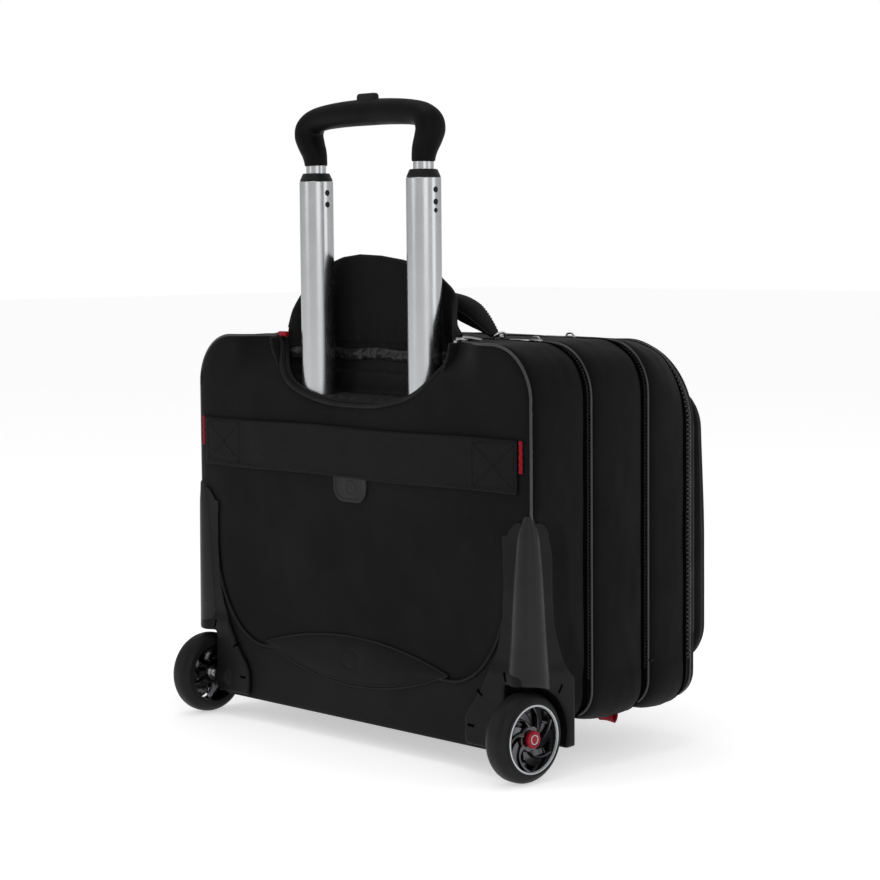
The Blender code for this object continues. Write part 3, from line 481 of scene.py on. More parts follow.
def back_sheet(obj, thickness, offset=-1):
    """Turns a sheet to face the back and thickens it."""
    face_towards(obj, BACKWARDS)
    thicken(obj, thickness, offset)


def cloth_grid(name, columns, rows, place):
    """A grid whose corners go where place(across, along) says, each from 0 to 1."""
    deselect()
    bpy.ops.mesh.primitive_grid_add(x_subdivisions=columns, y_subdivisions=rows, size=2)
    obj = bpy.context.object
    obj.name = name
    for corner in obj.data.vertices:
        corner.co = place((corner.co.x + 1) / 2, (corner.co.y + 1) / 2)
    obj.data.update()
    return obj


def block(name, lowest, highest, bevel=0.0, segments=3):
    """A box between two corners, with rounded edges."""
    deselect()
    lowest = Vector(lowest)
    highest = Vector(highest)
    size = highest - lowest
    bpy.ops.mesh.primitive_cube_add(size=1, location=(lowest + highest) / 2, scale=size)
    obj = bpy.context.object
    obj.name = name
    place_mesh(obj)
    if bevel:
        edit(obj)
        bpy.ops.mesh.bevel(offset=bevel, segments=segments, affect="EDGES")
        leave()
    return obj


def drum(name, place, radius, length, axis="Z", sides=48, bevel=0.0):
    """A round bar along an axis, with rounded ends."""
    turn = {"X": (0, math.pi / 2, 0), "Y": (math.pi / 2, 0, 0), "Z": (0, 0, 0)}[axis]
    deselect()
    bpy.ops.mesh.primitive_cylinder_add(vertices=sides, radius=radius, depth=length, location=place,
                                        rotation=turn)
    obj = bpy.context.object
    obj.name = name
    if bevel:
        modify(obj, "BEVEL", width=bevel, segments=3, limit_method="ANGLE", angle_limit=math.radians(50))
    place_mesh(obj)
    return obj


def spun(name, profile, place, axis="Z", steps=96):
    """A closed profile of (radius, along) points spun round an axis through place."""
    mesh = bpy.data.meshes.new(name)
    corners = [(radius, 0, along) for radius, along in profile]
    edges = [(index, (index + 1) % len(corners)) for index in range(len(corners))]
    mesh.from_pydata(corners, edges, [])
    obj = bpy.data.objects.new(name, mesh)
    bpy.context.scene.collection.objects.link(obj)
    only(obj)
    bpy.ops.object.mode_set(mode="EDIT")
    bpy.ops.mesh.select_mode(type="EDGE")
    bpy.ops.mesh.select_all(action="SELECT")
    bpy.ops.mesh.spin(steps=steps, angle=2 * math.pi, center=(0, 0, 0), axis=(0, 0, 1))
    bpy.ops.mesh.select_all(action="SELECT")
    bpy.ops.mesh.remove_doubles(threshold=0.00001)
    bpy.ops.mesh.normals_make_consistent(inside=False)
    leave()
    turn = {"X": Matrix.Rotation(math.pi / 2, 4, "Y"), "Y": Matrix.Rotation(-math.pi / 2, 4, "X"),
            "Z": Matrix.Identity(4)}[axis]
    obj.data.transform(Matrix.Translation(place) @ turn)
    obj.data.update()
    return obj


def tube(name, points, radius, closed=False, resolution=3, radii=None):
    """A round cord through points."""
    curve = bpy.data.curves.new(name, "CURVE")
    curve.dimensions = "3D"
    curve.bevel_depth = radius
    curve.bevel_resolution = resolution
    curve.use_fill_caps = not closed
    spline = curve.splines.new("POLY")
    spline.points.add(len(points) - 1)
    for index, point in enumerate(points):
        spline.points[index].co = (*point, 1)
        if radii:
            spline.points[index].radius = radii[index] / radius
    spline.use_cyclic_u = closed
    obj = bpy.data.objects.new(name, curve)
    bpy.context.scene.collection.objects.link(obj)
    only(obj)
    bpy.ops.object.convert(target="MESH")
    obj = bpy.context.object
    obj.name = name
    face_out(obj)
    smooth_all(obj)
    return obj


def copy_of(node, name):
    """A loose, welded copy of a CAD node's mesh."""
    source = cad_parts[node]
    obj = bpy.data.objects.new(name, source.data.copy())
    bpy.context.scene.collection.objects.link(obj)
    obj.data.materials.clear()
    weld(obj, 0.00002)
    return obj


def softened(obj, voxel, passes):
    """Remeshes a solid finely and rounds its edges."""
    modify(obj, "REMESH", mode="VOXEL", voxel_size=voxel, use_smooth_shade=True)
    modify(obj, "SMOOTH", factor=0.5, iterations=passes)
    smooth_all(obj)
    return obj


def join(name, *objects):
    """Joins meshes into the first one and names it."""
    deselect()
    for obj in objects:
        obj.select_set(True)
    bpy.context.view_layer.objects.active = objects[0]
    bpy.ops.object.join()
    objects[0].name = name
    return objects[0]


def carve(obj, *cutters):
    """Takes cutters out of a closed shape."""
    for cutter in cutters:
        modify(obj, "BOOLEAN", operation="DIFFERENCE", object=cutter, solver="EXACT")
        bpy.data.objects.remove(cutter)


def repeated(name, model, frames):
    """One mesh with a copy of the model at every frame; the model is removed."""
    corners = [corner.co.copy() for corner in model.data.vertices]
    faces = [tuple(face.vertices) for face in model.data.polygons]
    made_corners = []
    made_faces = []
    for matrix in frames:
        start = len(made_corners)
        made_corners += [matrix @ corner for corner in corners]
        made_faces += [tuple(start + index for index in face) for face in faces]
    mesh = bpy.data.meshes.new(name)
    mesh.from_pydata(made_corners, [], made_faces)
    obj = bpy.data.objects.new(name, mesh)
    bpy.context.scene.collection.objects.link(obj)
    bpy.data.objects.remove(model)
    smooth_all(obj)
    return obj


def basis(place, along, out):
    """A frame at place with X along the path and Z outwards."""
    along = along.normalized()
    side = out.cross(along).normalized()
    out = along.cross(side).normalized()
    matrix = Matrix((along, side, out)).transposed().to_4x4()
    matrix.translation = place
    return matrix


def walk(points, pitch, out=None):
    """Frames every pitch along a path; out gives the outward direction at each point, or one for all."""
    frames = []
    carry = pitch / 2
    for index in range(len(points) - 1):
        start = Vector(points[index])
        step = Vector(points[index + 1]) - start
        length = step.length
        outward = out[index] if isinstance(out, list) else out
        while carry < length:
            frames.append(basis(start + step * (carry / length), step, Vector(outward)))
            carry += pitch
        carry -= length
    return frames


STITCH_SHARE = 0.38                         # half a stitch's length over the stitches' pitch
THREAD_WIDTH = 0.00066
THREAD_HEIGHT = 0.00060


def stitching(name, points, out, lift=0.0001):
    """A row of lockstitches along a path."""
    pitch = cloth_sizes().stitch
    deselect()
    bpy.ops.mesh.primitive_ico_sphere_add(subdivisions=1, radius=1)
    model = bpy.context.object
    for corner in model.data.vertices:
        x, y, z = corner.co
        corner.co = (x * pitch * STITCH_SHARE, y * THREAD_WIDTH / 2, z * THREAD_HEIGHT / 2 + lift)
    return repeated(name, model, walk(points, pitch, out))


def bezier(points, steps):
    """Points along a smooth curve through the given ones."""
    points = [Vector(point) for point in points]
    made = []
    for index in range(len(points) - 1):
        before = points[max(0, index - 1)]
        start = points[index]
        end = points[index + 1]
        after = points[min(len(points) - 1, index + 2)]
        first = start + (end - before) / 6
        second = end - (after - start) / 6
        made += interpolate_bezier(start, first, second, end, steps + 1)[:-1]
    made.append(points[-1])
    return made


def ripple(place, scale, depth):
    """Soft, repeatable unevenness."""
    return noise.noise(Vector(place) * scale) * depth


class Outline:
    """A closed outline across and up, walked evenly from 0 to 1."""

    def __init__(self, points):
        self.points = [Vector(point) for point in points]
        self.points.append(self.points[0].copy())
        self.lengths = [0.0]
        for index in range(len(self.points) - 1):
            step = (self.points[index + 1] - self.points[index]).length
            self.lengths.append(self.lengths[-1] + step)
        self.length = self.lengths[-1]

    def at(self, share):
        goal = (share % 1.0) * self.length
        first = 0
        last = len(self.lengths) - 1
        while last - first > 1:
            half = (first + last) // 2
            if self.lengths[half] <= goal:
                first = half
            else:
                last = half
        step = self.points[first + 1] - self.points[first]
        return self.points[first] + step * ((goal - self.lengths[first]) / max(1e-9, step.length))

    def even(self, count):
        return [self.at(index / count) for index in range(count)]

    def outward(self, share, reach=0.004):
        """The outward direction, softened over a short stretch."""
        step = reach / self.length
        before = self.at(share - step)
        after = self.at(share + step)
        along = after - before
        return Vector((along.y, -along.x)).normalized()


def arc_points(centre, radius, start, end, steps):
    """Points of an arc between two angles in degrees."""
    made = []
    for step in range(steps + 1):
        turn = math.radians(start + (end - start) * step / steps)
        made.append((centre[0] + radius * math.cos(turn), centre[1] + radius * math.sin(turn)))
    return made


def round_outline(half, bottom, top, foot, corner, crown=0.0):
    """A rounded oblong from its lower middle towards +X, up and round."""
    points = [(0.0, bottom)]
    points += arc_points((half - foot, bottom + foot), foot, -90, 0, ARC_STEPS)
    points += arc_points((half - corner, top - corner), corner, 0, 90, ARC_STEPS)
    points += [(0.0, top)]
    points += [(-across, up) for across, up in reversed(points[1:-1])]
    level = (bottom + top) / 2
    return Outline([(across, up + (crown * (1 - (across / half) ** 2) if up > level else 0.0))
                    for across, up in points])


def edge_tree(points):
    """A search tree over (across, up) points."""
    tree = KDTree(len(points))
    for index, point in enumerate(points):
        tree.insert((point[0], point[1], 0), index)
    tree.balance()
    return tree


def edge_distance(tree, across, up):
    return tree.find((across, up, 0))[2]


def pillow(distance, run, height):
    """Rise of padded cloth at a distance from its seam."""
    share = min(1.0, max(0.0, distance / run))
    return height * math.sqrt(max(0.0, 1 - (1 - share) ** 2))


def flat(point, depth):
    """An (across, up) point at a depth."""
    return Vector((point[0], depth, point[1]))


def case_outline(drop=0.0, top_drop=0.0, corner=CORNER):
    """The case's outline, moved inwards by drop, with its top lower by top_drop."""
    return round_outline(CASE_HALF - drop, CASE_LOW + drop, CASE_TOP - drop - top_drop,
                         FOOT_CORNER - drop, corner - drop, TOP_CROWN)


# ---------------- the case's own lines

BAND_STEPS = 360
# The base tray's upper seam: across and up
SEAM = [(0.0, 0.076), (0.060, 0.075), (0.110, 0.074), (0.140, 0.076), (0.168, 0.094), (0.190, 0.132),
        (0.205, 0.200)]
SEAM_CURVE = bezier([(across, 0, up) for across, up in SEAM], 10)
# How far the wheel guards reach round the side: height, and depth from the back
GUARD_REACH = [(0.02, 0.056), (0.082, 0.056), (0.100, 0.044), (0.137, 0.031), (0.190, 0.029), (0.216, 0.022),
               (0.232, -0.010), (0.5, -0.030)]


def along_table(table, value):
    """A value read off a table of pairs."""
    if value <= table[0][0]:
        return table[0][1]
    for (start, first), (end, last) in zip(table, table[1:]):
        if value <= end:
            return first + (last - first) * (value - start) / (end - start)
    return table[-1][1]


SEAM_TABLE = [(point.x, point.z) for point in SEAM_CURVE]


def seam_height(across):
    """Height of the base tray's upper seam."""
    return along_table(SEAM_TABLE, abs(across))


SCOOP_CURVE = bezier([(across, 0, CASE_TOP - drop) for across, drop in SCOOP], 8)
SCOOP_TABLE = [(point.x, point.z) for point in SCOOP_CURVE]


def scoop_height(across):
    """Height of the recess's edge; beyond the recess, above everything."""
    return along_table(SCOOP_TABLE, abs(across)) if abs(across) < SCOOP_HALF else 1.0


def smooth_share(value):
    """Rises smoothly from 0 to 1 as value does."""
    value = min(1.0, max(0.0, value))
    return value * value * (3 - 2 * value)


def flare(across, up):
    """How far the back and its edge lean towards the front beside the recess's two ends."""
    rise = smooth_share((up - CASE_TOP + 0.040) / 0.038)
    return 0.016 * rise * (1 - smooth_share((abs(across) - SCOOP_HALF + 0.002) / 0.045))


def crown_at(across, up):
    """Rise of the case's top, which is highest in the middle."""
    return TOP_CROWN * (1 - (across / CASE_HALF) ** 2) if up > CROWN_FROM else 0.0


def upper_edge(across, half, top, corner):
    """Height of an oblong's rounded upper edge."""
    beyond = abs(across) - (half - corner)
    if beyond <= 0:
        return top
    return top - corner + math.sqrt(max(0.0, corner ** 2 - beyond ** 2))


def lower_edge(across, half, bottom, corner):
    """Height of an oblong's rounded lower edge."""
    return bottom - upper_edge(across, half, 0.0, corner)


def columns_for(half, count, marks=()):
    """Column places, closer together near the sides and round each mark."""
    places = [-half * math.cos(math.pi * step / count) for step in range(count + 1)]
    for mark in marks:
        places += [mark + 0.0012 * step for step in range(-9, 10)]
    places = sorted(place for place in places if abs(place) <= half)
    kept = [places[0]]
    for place in places[1:]:
        if place - kept[-1] > 0.0005:
            kept.append(place)
    kept[-1] = half
    return kept


def column_panel(name, columns, rows, bottom, top, depth):
    """Columns of cloth from bottom(across) to top(across), each corner at depth(across, up)."""
    count = len(columns) - 1

    def place(across, along):
        x = columns[round(across * count)]
        share = 0.5 * along + 0.25 * (1 - math.cos(math.pi * along))
        z = bottom(x) + (top(x) - bottom(x)) * share
        return Vector((x, depth(x, z), z))

    return cloth_grid(name, count, rows, place)


def border(columns, bottom, top, steps=80):
    """The edge of a column panel as (across, up) points."""
    points = [(x, bottom(x)) for x in columns] + [(x, top(x)) for x in columns]
    for x in (columns[0], columns[-1]):
        points += [(x, bottom(x) + (top(x) - bottom(x)) * step / steps) for step in range(steps + 1)]
    return points


def panel_top(across):
    """Upper edge of the padded back."""
    edge = upper_edge(across, CASE_HALF - 0.0003, CASE_TOP, CORNER) + crown_at(across, CASE_TOP)
    return min(edge, scoop_height(across))


def panel_bottom(across):
    """Lower edge of the padded back, just under the tray's seam."""
    return min(seam_height(across) - 0.002, panel_top(across) - 0.05)


PANEL_COLUMNS = columns_for(CASE_HALF - 0.0003, 170, (-0.114, 0.114))
PANEL_TREE = edge_tree(border(PANEL_COLUMNS, panel_bottom, panel_top))


def panel_depth(across, up):
    """Y of the padded back at a place."""
    distance = edge_distance(PANEL_TREE, across, up)
    rise = pillow(distance, 0.010, 0.0024) + pillow(distance, 0.10, 0.0022)
    folds = ripple((across, 0, up * 0.6), 16, 1) + 0.5 * ripple((across, 3, up), 45, 1)
    depth = folds * cloth_sizes().wrinkle * 0.8 * min(1, distance / 0.02)
    return BACK - BACK_SEAM + rise + depth - flare(across, up)


def out_of_ring(points):
    """The outward direction at each point of a ring path."""
    made = []
    for index in range(len(points)):
        before = points[max(0, index - 1)]
        after = points[min(len(points) - 1, index + 1)]
        along = after - before
        made.append(Vector((along.z, 0, -along.x)).normalized())
    return made


# ---------------- soft shell of the case


PIPING_START = 0.150                        # height at which the side piping leaves the wheel guard
BACK_STITCH_INSET = 0.0042


def back_edge(bottom, inset, stop, steps):
    """The back's edge on one side: from a height up, round the corner, and across to stop."""
    rise = CASE_TOP - CORNER - bottom
    run = CASE_HALF - CORNER - stop
    path = [(CASE_HALF - inset, bottom + rise * step / steps) for step in range(steps)]
    path += arc_points((CASE_HALF - CORNER, CASE_TOP - CORNER), CORNER - inset, 0, 90, PATH_ARC_STEPS)
    path += [(CASE_HALF - CORNER - run * step / 12, CASE_TOP - inset) for step in range(1, 13)]
    return path


def make_back_panel():
    """The padded back, with piping and stitches round its edge."""
    panel = column_panel("back_panel_cloth", PANEL_COLUMNS, 120, panel_bottom, panel_top, panel_depth)
    back_sheet(panel, 0.0028)
    attach(panel, "case", "case_fabric", node="back_panel")
    edge = back_edge(PIPING_START, 0.0, SCOOP_HALF, 40)
    for side, word in SIDES:
        points = [Vector((side * (x + 0.0002), BACK - 0.0030 - flare(x, z), z + crown_at(x, z)))
                  for x, z in edge]
        cord = tube("back_piping_" + word, points, cloth_sizes().piping)
        attach(cord, "case", "case_fabric", "piping")
    rows = []
    edge = back_edge(STRAP_HIGH + 0.003, BACK_STITCH_INSET, SCOOP_HALF + 0.004, 60)
    for side in (-1, 1):
        points = [Vector((side * x, panel_depth(x, z) + 0.0002, z + crown_at(x, z))) for x, z in edge]
        rows.append(stitching("row", points, BACKWARDS))
    stitches = join("back_panel_stitches", *rows)
    attach(stitches, "case", "case_fabric", "thread")


def scoop_points(inset):
    """The scoop's edge from -X to +X, moved into the opening by inset."""
    line = [Vector((-point.x, point.z)) for point in reversed(SCOOP_CURVE[1:])]
    line += [Vector((point.x, point.z)) for point in SCOOP_CURVE]
    made = []
    for index, point in enumerate(line):
        along = line[min(len(line) - 1, index + 1)] - line[max(0, index - 1)]
        inwards = Vector((-along.y, along.x)).normalized()
        made.append(point + inwards * inset)
    return made


def make_scoop_edge():
    """The bound edge round the recess, its zip and the zip's red pull."""
    path = [Vector((x, BACK - 0.0026 - flare(x, z), min(z, CASE_TOP + 0.001)))
            for x, z in scoop_points(0.0006)]
    cord = tube("scoop_binding", path, 0.0024)
    attach(cord, "case", "case_fabric", "dark_piping")
    path = [Vector((x, BACK - 0.0070 - flare(x, z), z))
            for x, z in scoop_points(0.0034) if z < CASE_TOP + 0.001]
    outs = [-out for out in out_of_ring(path)]
    teeth = zip_row("scoop_zip", path, outs)
    attach(teeth, "case", "zip_teeth")

    def tape_place(across, along):
        index = across * (len(path) - 1)
        first = min(len(path) - 2, int(index))
        point = path[first].lerp(path[first + 1], index - first)
        out = outs[first]
        return point - out * 0.0009 + Vector((0, (along - 0.5) * 0.011, 0))

    tape = cloth_grid("scoop_zip_tape", 160, 3, tape_place)
    thicken(tape, 0.0009, 0)
    attach(tape, "case", "case_fabric", "strap_webbing")
    for side, word in SIDES:
        end = path[0] if side < 0 else path[-1]
        start = end + Vector((0, 0.002, 0.001))
        stop = block("scoop_zip_stop_" + word, start - Vector((0.0045, 0.002, 0.0012)),
                     start + Vector((0.0045, 0.002, 0.0012)), 0.0008)
        round_off(stop)
        attach(stop, "case", "zip_metal")
    start = path[0] + Vector((-0.002, 0, 0.0024))
    slider = block("slider", start - Vector((0.0050, 0.0030, 0.0016)),
                   start + Vector((0.0050, 0.0030, 0.0022)), 0.0010)
    bar = tube("bar", [start + Vector((-0.003, 0.0008, 0.0026)), start + Vector((-0.012, 0.0012, 0.0022)),
                       start + Vector((-0.026, 0.0016, 0.0006))], 0.0013)
    puller = join("scoop_zip_puller", slider, bar)
    round_off(puller)
    attach(puller, "case", "zip_metal")
    end = path[-1]
    pull = block("scoop_zip_pull", end + Vector((-0.006, 0.0005, 0.0)),
                 end + Vector((0.005, 0.0062, 0.0048)), 0.0014)
    round_off(pull)
    attach(pull, "case", "red_plastic")


BOTTOM_SAG = 0.0012                         # how far the loaded cloth hangs down


def section_band(name, body, near, far, bulge, end=None, guard=False):
    """One zipped section's gusset, with a strip of painted shade along its far seam: near and far are Y of its
    two seams.
    """
    outline = case_outline()
    end = end or outline
    width = abs(near - far)

    def surface(across, along, lift):
        point = outline.at(across).lerp(end.at(across), along ** 1.3)
        out = outline.outward(across, 0.010)
        y = near + (far - near) * along
        from_seam = min(along, 1 - along) * width
        full = bulge * (1 - 0.85 * smooth_share((point.y - CASE_TOP + 0.020) / 0.018))
        swell = pillow(from_seam, 0.008, SEAM_DIP) + pillow(from_seam, width / 2, full)
        folds = ripple((point.x, y * 0.7, point.y), 18, 1) + 0.6 * ripple((point.x, y * 2.5, point.y), 38, 1)
        swell += folds * cloth_sizes().wrinkle * min(1, from_seam / 0.012)
        if point.y < 0.08:
            swell += BOTTOM_SAG * math.sin(math.pi * along)
        if guard:
            y -= flare(point.x, point.y) * (1 - along)
            depth = BACK - y
            clear = (depth - along_table(GUARD_REACH, point.y)) / 0.014
            swell = min(swell, SEAM_DIP) + (swell - min(swell, SEAM_DIP)) * min(1, max(0, clear))
        return flat(point + out * (swell - SEAM_DIP + lift), y)

    def place(across, along):
        return surface(across, along, 0.0)

    # A thin dark strip just off the far seam: painted shade in the zip's recess.
    def shade_strip_place(across, along):
        return surface(across, 1 - 0.0085 / width * (1 - along), 0.0004)

    shade_strip = cloth_grid(name + "_edge", BAND_STEPS, 4, shade_strip_place)
    weld(shade_strip)
    thicken(shade_strip, 0.0006, 0)
    attach(shade_strip, body, "case_fabric", "painted_shade")
    band = cloth_grid(name, BAND_STEPS, max(10, round(width / 0.0028)), place)
    weld(band)
    face_away(band, Vector((0, (near + far) / 2, 0.2)))
    thicken(band, CLOTH)
    return band


WALL_INSET = 0.0045                         # from the case's outline to the boards inside


def inner_wall(name, y, body, top=None, finish="lining", thick=0.0022, node=None, puff=0.0):
    """A board covered in lining, across the inside of the case."""
    half = CASE_HALF - WALL_INSET
    height = top or CASE_TOP - WALL_INSET
    columns = columns_for(half, 70)

    def bottom(x):
        return lower_edge(x, half, CASE_LOW + WALL_INSET, FOOT_CORNER - WALL_INSET)

    def upper(x):
        return upper_edge(x, half, height, 0.022 if top else CORNER - WALL_INSET)

    tree = edge_tree(border(columns, bottom, upper))

    def depth(x, z):
        return y + pillow(edge_distance(tree, x, z), 0.010, puff) + ripple((x, y, z), 20, 0.0003)

    wall = column_panel(name, columns, 60, bottom, upper, depth)
    back_sheet(wall, thick)
    attach(wall, body, "lining", finish, node)
    return wall


ARCH_START = 0.1909                         # the wheel arches in the cloth: across, and their top
ARCH_TOP = 0.0838


def make_sections():
    """The cloth round each section, the boards inside and the laptop's pad."""
    bulge = cloth_sizes().bulge
    rear = section_band("rear_section_cloth", "case", high("rear_gusset").y, low("rear_gusset").y,
                        bulge * 0.8, guard=True)
    recess = block("cutter", (-SCOOP_HALF, BACK - 0.0478, CASE_TOP - 0.06), (SCOOP_HALF, BACK + 0.1, 0.6))
    arches = (block("cutter", (-1, BACK - 0.0475, -1), (-ARCH_START, BACK + 0.1, ARCH_TOP)),
              block("cutter", (ARCH_START, BACK - 0.0475, -1), (1, BACK + 0.1, ARCH_TOP)))
    reach = high("outer_tube_right").x - TUBE_X + 0.0006
    holes = [drum("cutter", (side * TUBE_X, TUBE_Y, CASE_LOW), reach, 0.04) for side in (-1, 1)]
    carve(rear, recess, *arches, *holes)
    round_off(rear, 50)
    attach(rear, "case", "case_fabric", node="rear_gusset")
    for word, end in (("middle", None), ("front", front_outline(0.0))):
        body = word + "_section"
        node = word + "_gusset"
        band = section_band(body + "_cloth", body, high(node).y, low(node).y, bulge, end)
        attach(band, body, "case_fabric", node=node)
    inner_wall("first_compartment_back", high("compartment_back").y, "case", node="compartment_back")
    inner_wall("middle_section_wall", high("middle_gusset").y - 0.0004, "middle_section")
    inner_wall("front_section_wall", high("front_gusset").y - 0.0004, "front_section")
    pad = inner_wall("laptop_pad_cloth", middle("laptop_pad").y + 0.0015, "middle_section",
                     top=high("laptop_pad").z, finish="pad_fabric", thick=0.0055, node="laptop_pad",
                     puff=0.0014)


# ---------------- zips


TOOTH_WIDTH = 0.0022
TOOTH_HEIGHT = 0.0011
TOOTH_SHIFT = 0.00085                       # how far the teeth of each side stand off the zip's middle
TAPE_WIDTH = 0.0094
COARSE = 1.35                               # size of the front zips' teeth over the others'


def zip_row(name, path, outs, size=1.0):
    """Two rows of interlocked coil teeth along a path."""
    pitch = cloth_sizes().tooth * size
    deselect()
    bpy.ops.mesh.primitive_cube_add(size=1)
    model = bpy.context.object
    model.scale = (pitch * 0.30, TOOTH_WIDTH * size, TOOTH_HEIGHT * size)
    place_mesh(model)
    edit(model)
    bpy.ops.mesh.bevel(offset=0.0003, segments=1, affect="EDGES")
    leave()
    frames = []
    for index, matrix in enumerate(walk(path, pitch / 2, outs)):
        slide = (TOOTH_SHIFT if index % 2 else -TOOTH_SHIFT) * size
        frames.append(matrix @ Matrix.Translation((0, slide, 0)))
    return repeated(name, model, frames)


def zip_line(word, chain, body, drop, shape):
    """A closed zip in the gap between two sections: teeth on a tape."""
    centre = middle(chain).y
    start = low(chain).z
    points = [flat(point, centre) for point in shape(drop).even(BAND_STEPS) if point.y >= start]
    outs = out_of_ring(points)
    coarse = shape is not case_outline
    teeth = zip_row("zip_teeth_" + word, points, outs, COARSE if coarse else 1.0)
    attach(teeth, body, "zip_teeth", "coarse_teeth" if coarse else "zip_teeth", node=chain)
    tape_outline = shape(drop + 0.0012)

    def tape_place(across, along):
        point = tape_outline.at(across)
        return flat(point, centre + (along - 0.5) * TAPE_WIDTH)

    tape = cloth_grid("zip_tape_" + word, BAND_STEPS, 4, tape_place)
    weld(tape)
    thicken(tape, 0.0008, 0)
    attach(tape, body, "case_fabric", "strap_webbing")


def seam_piping(name, y, body, drop, shape=case_outline, finish="piping"):
    """A cord along the whole of a seam."""
    points = [flat(point, y) for point in shape(drop).even(BAND_STEPS)]
    cord = tube(name, points, cloth_sizes().piping, closed=True)
    attach(cord, body, "case_fabric", finish)


def front_outline(drop):
    """The lower, rounder outline of the front section's face and the cover."""
    return case_outline(drop, CASE_TOP - high("front_cover").z, FRONT_CORNER)


def pocket_outline(drop):
    half = high("pocket_face").x
    bottom = low("pocket_face").z
    top = high("pocket_face").z
    return round_outline(half - drop, bottom + drop, top - drop, 0.038 - drop, 0.038 - drop)


BOOT_SEAM = 0.084                           # height of the seam across the front section's sides


def make_zips():
    """The four closed zips, the piping beside them and the seam of the front section's foot."""
    for word, chain, body, shape in (("rear", "zip_chain_rear", "case", case_outline),
                                     ("middle", "zip_chain_middle", "middle_section", case_outline),
                                     ("front", "zip_chain_front", "front_section", front_outline),
                                     ("pocket", "zip_chain_pocket", "cover", pocket_outline)):
        zip_line(word, chain, body, 0.0026 if shape is case_outline else -0.0002, shape)
    edge = 0.0003
    dark = "dark_piping"
    middle_back = high("middle_gusset").y - edge
    middle_front = low("middle_gusset").y + edge
    front_back = high("front_gusset").y - edge
    front_front = low("front_gusset").y + edge
    seam_piping("rear_section_piping", low("rear_gusset").y + edge, "case", 0.0028, finish=dark)
    seam_piping("middle_section_piping_back", middle_back, "middle_section", 0.0012)
    seam_piping("middle_section_piping_front", middle_front, "middle_section", 0.0028, finish=dark)
    seam_piping("front_section_piping_back", front_back, "front_section", 0.0012)
    seam_piping("front_section_piping_front", front_front, "front_section", 0.0012, front_outline, dark)
    seam_piping("cover_piping", high("front_cover").y - edge, "cover", 0.0004, front_outline)
    seam_piping("pocket_piping", high("pocket_face").y - edge, "pocket", 0.0006, pocket_outline)
    back = high("front_gusset").y
    depth = back - low("front_gusset").y
    for side, word in SIDES:
        points = []
        for step in range(21):
            across = CASE_HALF + 0.0006 + 0.0022 * math.sin(math.pi * step / 20)
            points.append(Vector((side * across, back - depth * step / 20, BOOT_SEAM)))
        cord = tube("boot_seam_" + word, points, 0.0011)
        attach(cord, "front_section", "case_fabric", dark)


def make_sliders():
    """The two zip sliders that move, and their pulls."""
    for word in ("rear", "middle"):
        node = "zip_slider_" + word
        lowest, highest = ends(node)
        centre = (lowest + highest) / 2
        body = block("slider_" + word, lowest + Vector((0, 0.0006, -0.0004)),
                     highest - Vector((0, 0.0006, 0.0006)), 0.0011)
        edit(body)
        pick(body, lambda at, normal: normal.x < -0.9)
        bpy.ops.transform.resize(value=(1, 0.6, 1), center_override=centre)
        leave()
        bridge = tube("bridge_" + word, bezier([(centre.x - 0.004, centre.y, highest.z - 0.0008),
                                                (centre.x - 0.002, centre.y, highest.z + 0.0012),
                                                (centre.x + 0.003, centre.y, highest.z + 0.0012),
                                                (centre.x + 0.005, centre.y, highest.z - 0.0008)], 8), 0.0009)
        join("slider_" + word, body, bridge)
        round_off(body)
        attach(body, "slider_" + word, "zip_metal", node=node)
        node = "zip_pull_" + word
        lowest, highest = ends(node)
        centre = (lowest + highest) / 2
        tab = block("pull_" + word, lowest, highest, 0.0006, 2)
        hole = drum("cutter", (highest.x - 0.0042, centre.y, centre.z), 0.0016, 0.01, "Z", 24)
        eye = drum("cutter", (lowest.x + 0.0036, centre.y, centre.z), 0.0012, 0.01, "Z", 24)
        carve(tab, hole, eye)
        round_off(tab)
        attach(tab, "pull_" + word, "zip_metal", node=node)


# ---------------- front


def puffed(name, outline, back, face, rounding, swell, thick, wall_rows=8):
    """A padded cover: a side wall from its back seam, a rounded edge and a front at face(across, up)."""
    ups = [point.y for point in outline.points]
    centre = Vector((0, (min(ups) + max(ups)) / 2))
    corner_rows = 7
    face_rows = 34
    rows = wall_rows + corner_rows + face_rows

    def place(across, along):
        point = outline.at(across)
        out = outline.outward(across, 0.010)
        row = along * rows
        edge = point - out * rounding
        front = face(edge.x, edge.y)
        wall = back - front - rounding
        if row <= wall_rows:
            share = row / wall_rows
            crease = ripple((point.x, point.y, share * 0.02), 40, 0.0007) * math.sin(math.pi * share)
            return flat(point + out * (swell * math.sin(math.pi * share) + crease), back - wall * share)
        if row <= wall_rows + corner_rows:
            turn = math.pi / 2 * (row - wall_rows) / corner_rows
            depth = back - wall - rounding * math.sin(turn)
            return flat(point - out * rounding * (1 - math.cos(turn)), depth)
        share = ((row - wall_rows - corner_rows) / face_rows) ** 1.15
        inner = centre + (edge - centre) * (1 - share)
        return flat(inner, face(inner.x, inner.y))

    made = cloth_grid(name, 360, rows, place)
    weld(made)
    face_away(made, Vector((0, back, centre.y)))
    thicken(made, thick)
    return made


